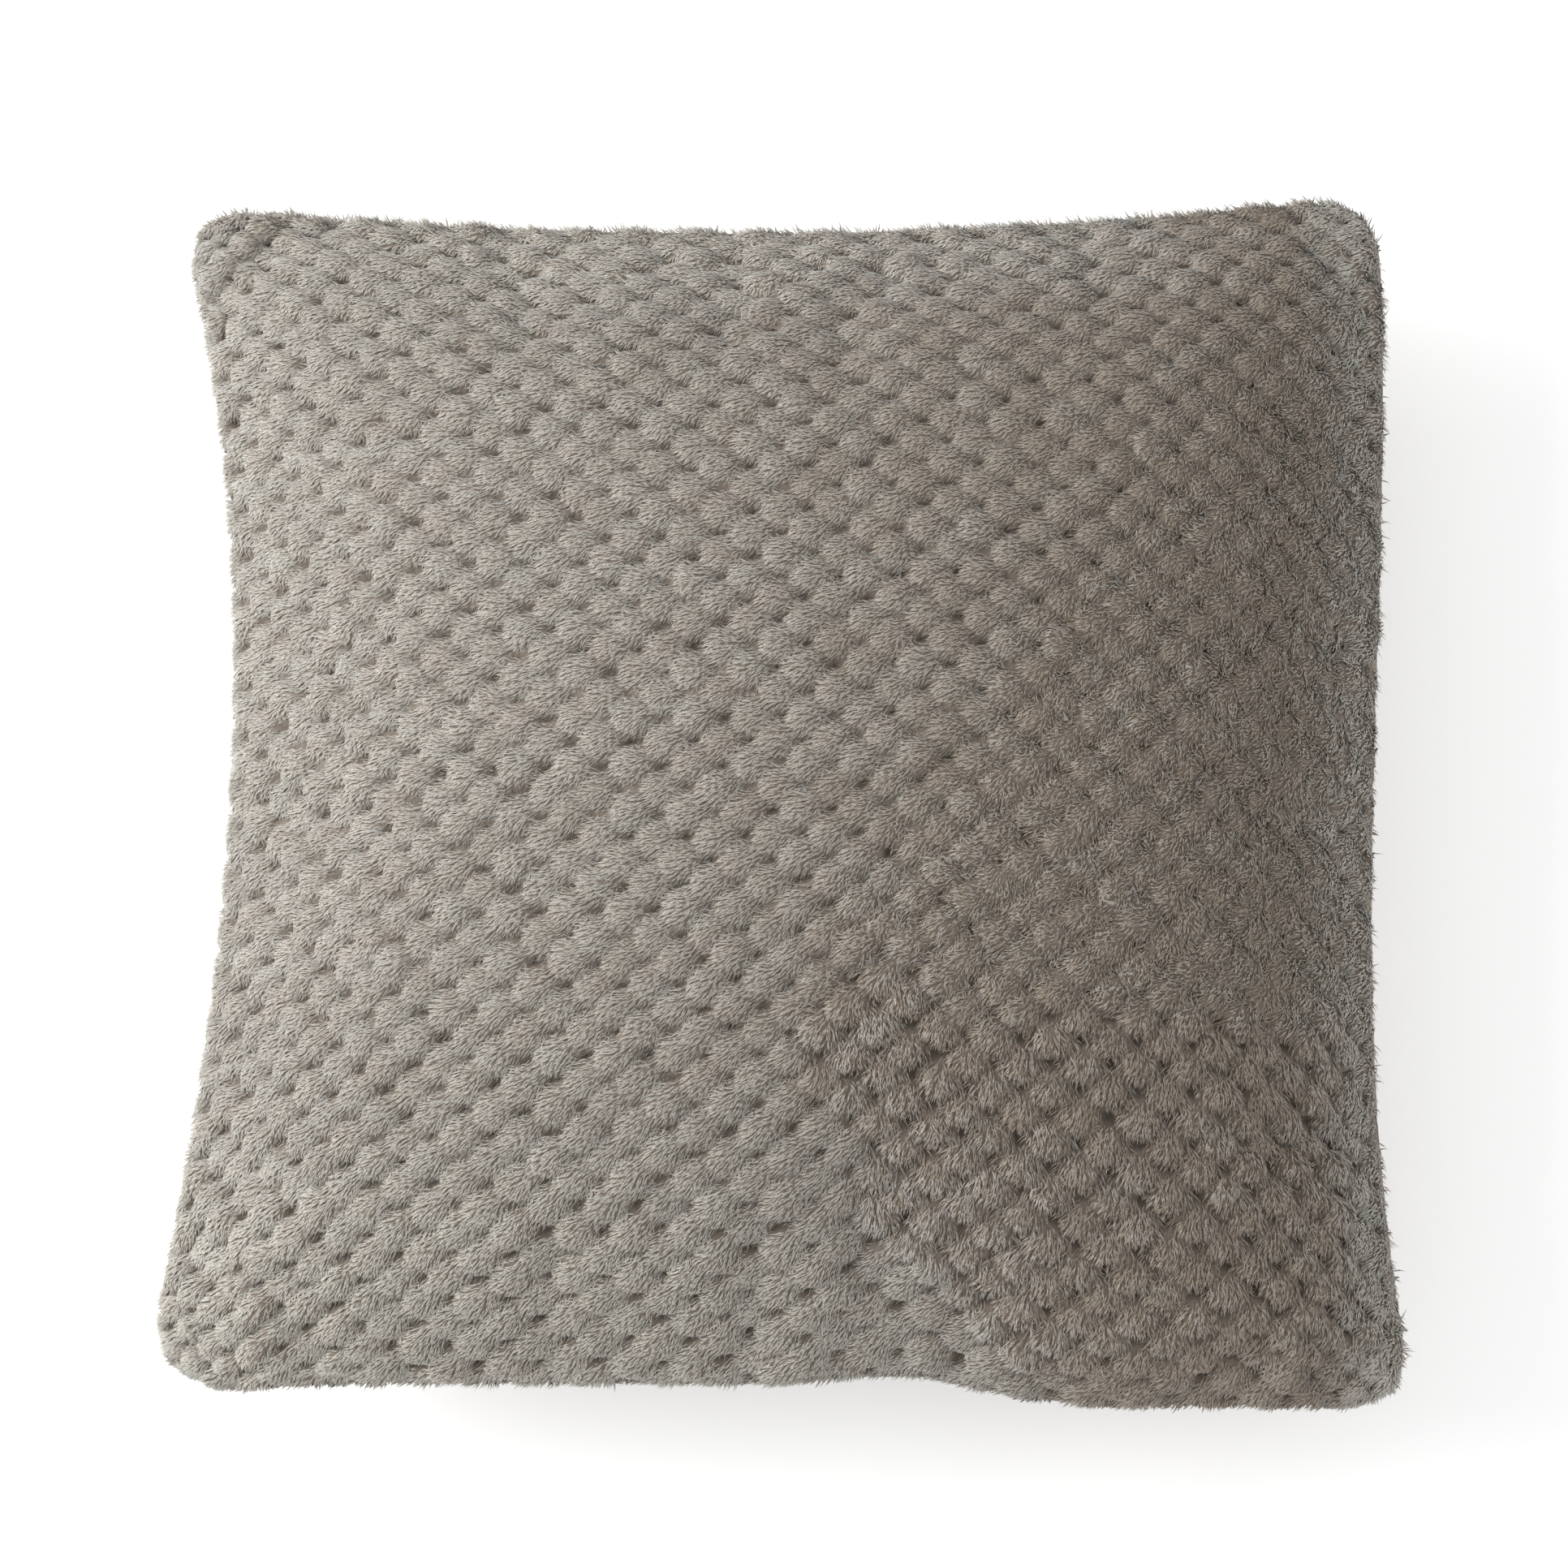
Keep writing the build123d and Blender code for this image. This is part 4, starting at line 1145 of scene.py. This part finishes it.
def make_insert_shell(side, name):
    """One half of the insert's bag, puckered where it is sewn, and its sewn lip."""
    node = f"insert_{name}_shell"
    low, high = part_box(node)
    crown = (high.z - SEAM_Z if side == FRONT else SEAM_Z - low.z) - INSERT_UNDER_CROWN
    panel = Panel(side, INSERT_INSET, crown, low.z + INSERT_OVER_FLOOR, INSERT_FINER)
    s, t = panel.fabric_grid()
    width, height = panel.across[-1], panel.along[-1]
    from_sides, from_ends = np.minimum(s, width - s), np.minimum(t, height - t)
    gathered = puckers("side puckers", t, SIDE_PUCKERS, s, t, from_sides)
    gathered = gathered + puckers("end puckers", s, END_PUCKERS, s, t, from_ends)
    held = smooth_step(np.minimum(from_sides, from_ends), 0, HELD_BY_SEAM)
    wrinkled = 1 + PUCKER_DEPTH * gathered + WRINKLE_SHARE * uneven("insert wrinkles", s, t)
    points = panel.points - panel.normals * (held * WRINKLE_DEPTH * wrinkled)[..., None]
    points[..., 2] = np.maximum(points[..., 2], low.z)
    rows, columns = points.shape[:2]
    bag = make_mesh(f"{node}_bag", points.reshape(-1, 3), grid_faces(rows, columns, flip=side == BACK))
    finish_piece(bag, "insert_cloth", materials["insert"])

    _, path, outward = outline(INSERT_INSET, 3 * MM)
    heights = sorted((side * INSERT_LIP_GAP, side * INSERT_LIP_THICKNESS))
    section = strip_section(-INSERT_LIP_THICKNESS, INSERT_INSET - INSERT_LIP_INSET, *heights, LIP_ROUNDING)
    lip = sweep(f"{node}_lip", path + (0, 0, SEAM_Z), outward, section, closed=True)
    finish_piece(lip, "insert_cloth", materials["insert"])
    for piece in (bag, lip):
        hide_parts(node)


def fill_lumps(side, crown, lowest):
    """Grid of points over one side of the filling, creased between its lumps, and its normals."""
    grid = finer_grid(panel_grid(side, FILL_INSET, crown, SIM_CELLS), FILL_FINER)
    normals = grid_normals(grid, side)
    large, small = (
        np.exp(-(uneven(kind, grid[..., 0], grid[..., 1], side) / CREASE_WIDTH) ** 2)
        for kind in ("large creases", "small creases")
    )
    crease = np.maximum(large, SMALL_CREASES * small)
    inside = smooth_step(np.abs(grid[..., 2] - SEAM_Z), 0, LUMPS_FROM_EDGE)
    grid = grid - normals * (LUMP_DEPTH * crease * inside)[..., None]
    grid[..., 2] = np.maximum(grid[..., 2], lowest)
    return grid, normals


def loose_fibres(grid, normals):
    """Roots, middles, tips and facings of strands that lie over the lumps at random."""
    rows, columns = grid.shape[:2]
    count = int((2 * HALF_SIDE / FIBRE_SPACING) ** 2)
    row = random.integers(FIBRE_EDGE_CELLS, rows - FIBRE_EDGE_CELLS, count)
    column = random.integers(FIBRE_EDGE_CELLS, columns - FIBRE_EDGE_CELLS, count)
    root, normal = grid[row, column], normals[row, column]
    level = unit(np.cross(normal, random.normal(0, 1, (count, 3))))
    bend = np.cross(normal, level) * random.normal(0, FIBRE_BEND, (count, 1))
    middle = root + (level * 0.5 + bend) * FIBRE_LENGTH + normal * 0.5 * MM
    tip = root + (level * 0.9 + bend * 3) * FIBRE_LENGTH - normal * 1.5 * MM
    return root - normal * 0.5 * MM, middle, tip, normal


def make_filling():
    """Lumps of polyester fibre, with loose strands lying over them."""
    low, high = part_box("fibre_fill")
    points, faces, fibres = [], [], []
    for side, crown in ((FRONT, high.z - SEAM_Z), (BACK, SEAM_Z - low.z)):
        grid, normals = fill_lumps(side, crown - FILL_UNDER_CROWN, low.z + FILL_OVER_FLOOR)
        rows, columns = grid.shape[:2]
        faces.append(grid_faces(rows, columns, flip=side == BACK) + sum(len(part) for part in points))
        points.append(grid.reshape(-1, 3))
        fibres.append(loose_fibres(grid, normals))
    mass = make_mesh("fibre_fill_mass", np.concatenate(points), np.concatenate(faces))
    finish_piece(mass, "polyester_fibre", materials["fibre"])

    *places, facings = (np.concatenate(part) for part in zip(*fibres))
    for place in places:
        place[:, 2] = np.clip(place[:, 2], low.z, high.z)
    strand_points, _, strand_faces = strand_meshes(*places, facings, np.full(len(facings), FIBRE_WIDTH / 2))
    strands = join_strands("fibre_fill_strands", strand_points, strand_faces)
    finish_piece(strands, "polyester_fibre", materials["fibre"])
    for piece in (mass, strands):
        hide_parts("fibre_fill")


# ======== Studio ========

def make_floor():
    """Wide white floor under the pillow."""
    corners = [(-1, -1, 0), (1, -1, 0), (1, 1, 0), (-1, 1, 0)]
    floor = make_mesh("studio_floor", np.array(corners) * FLOOR_HALF, np.array([[0, 1, 2, 3]]), smooth=False)
    finish = {"Base_Color": FLOOR_COLOUR, "Roughness": 0.9}
    glow = {"Emission_Color": WHITE, "Emission_Strength": FLOOR_GLOW}
    floor.data.materials.append(new_material("studio_floor", **finish, **glow)[0])


def place_object(name, data, place, way):
    """Puts a light or a camera at a place, looking that way."""
    placed = bpy.data.objects.new(name, data)
    placed.location = place
    placed.rotation_mode = "QUATERNION"
    placed.rotation_quaternion = Vector(way).to_track_quat("-Z", "Y")
    bpy.context.scene.collection.objects.link(placed)
    return placed


def make_studio():
    """Floor, even white surroundings and two soft lights."""
    make_floor()
    world = bpy.data.worlds.new("studio")
    bpy.context.scene.world = world
    world.use_nodes = True
    background = world.node_tree.nodes["Background"]
    fill_inputs(world.node_tree, background, Color=WHITE, Strength=SKY_STRENGTH)
    for name, (place, target, size, power) in LIGHTS.items():
        light = bpy.data.lights.new(name, "AREA")
        light.shape = "DISK"
        light.size = size
        light.energy = power
        place_object(name, light, place, Vector(target) - Vector(place))
    bpy.context.scene.view_settings.view_transform = "Standard"


def make_camera():
    """Camera in front of the pillow, a little below its middle, so that the bottom edge is nearer."""
    lens = bpy.data.cameras.new("camera")
    lens.sensor_width = SENSOR_WIDTH
    lens.lens = FOCAL_LENGTH
    lens.shift_x = SHIFT_X
    lens.shift_y = SHIFT_Y
    way = Vector((0, -math.sin(CAMERA_TILT), math.cos(CAMERA_TILT)))
    place = Vector((0, 0, SEAM_Z)) + way * CAMERA_DISTANCE
    bpy.context.scene.camera = place_object("camera", lens, place, -way)


make_camera()
make_studio()
materials = make_materials()

for side, name in ((FRONT, "front"), (BACK, "back")):
    lowest = back_low.z + CLOTH_OVER_FLOOR
    inset = PILE_DEPTH if side == FRONT else PILE_DEPTH + BACK_TUCK
    panel = Panel(side, inset, CROWN[side] - PILE_DEPTH, lowest, FINER, MOUTH_HALF_HEIGHT)
    pieces = [make_cover_cloth(panel, f"{name}_cover_cloth"), *make_pile(panel, f"{name}_pile")]
    for piece in pieces + make_allowances(side, name):
        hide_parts(f"cover_{name}_panel")
    make_coil(name)
    make_insert_shell(side, name)

make_bar_tack("left")
make_bar_tack("right")
make_straight_threads()
make_round_threads()
make_filling()

for node, finish in CAD_FINISHES.items():
    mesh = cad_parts[node].data
    mesh.materials.clear()
    mesh.materials.append(materials[finish])
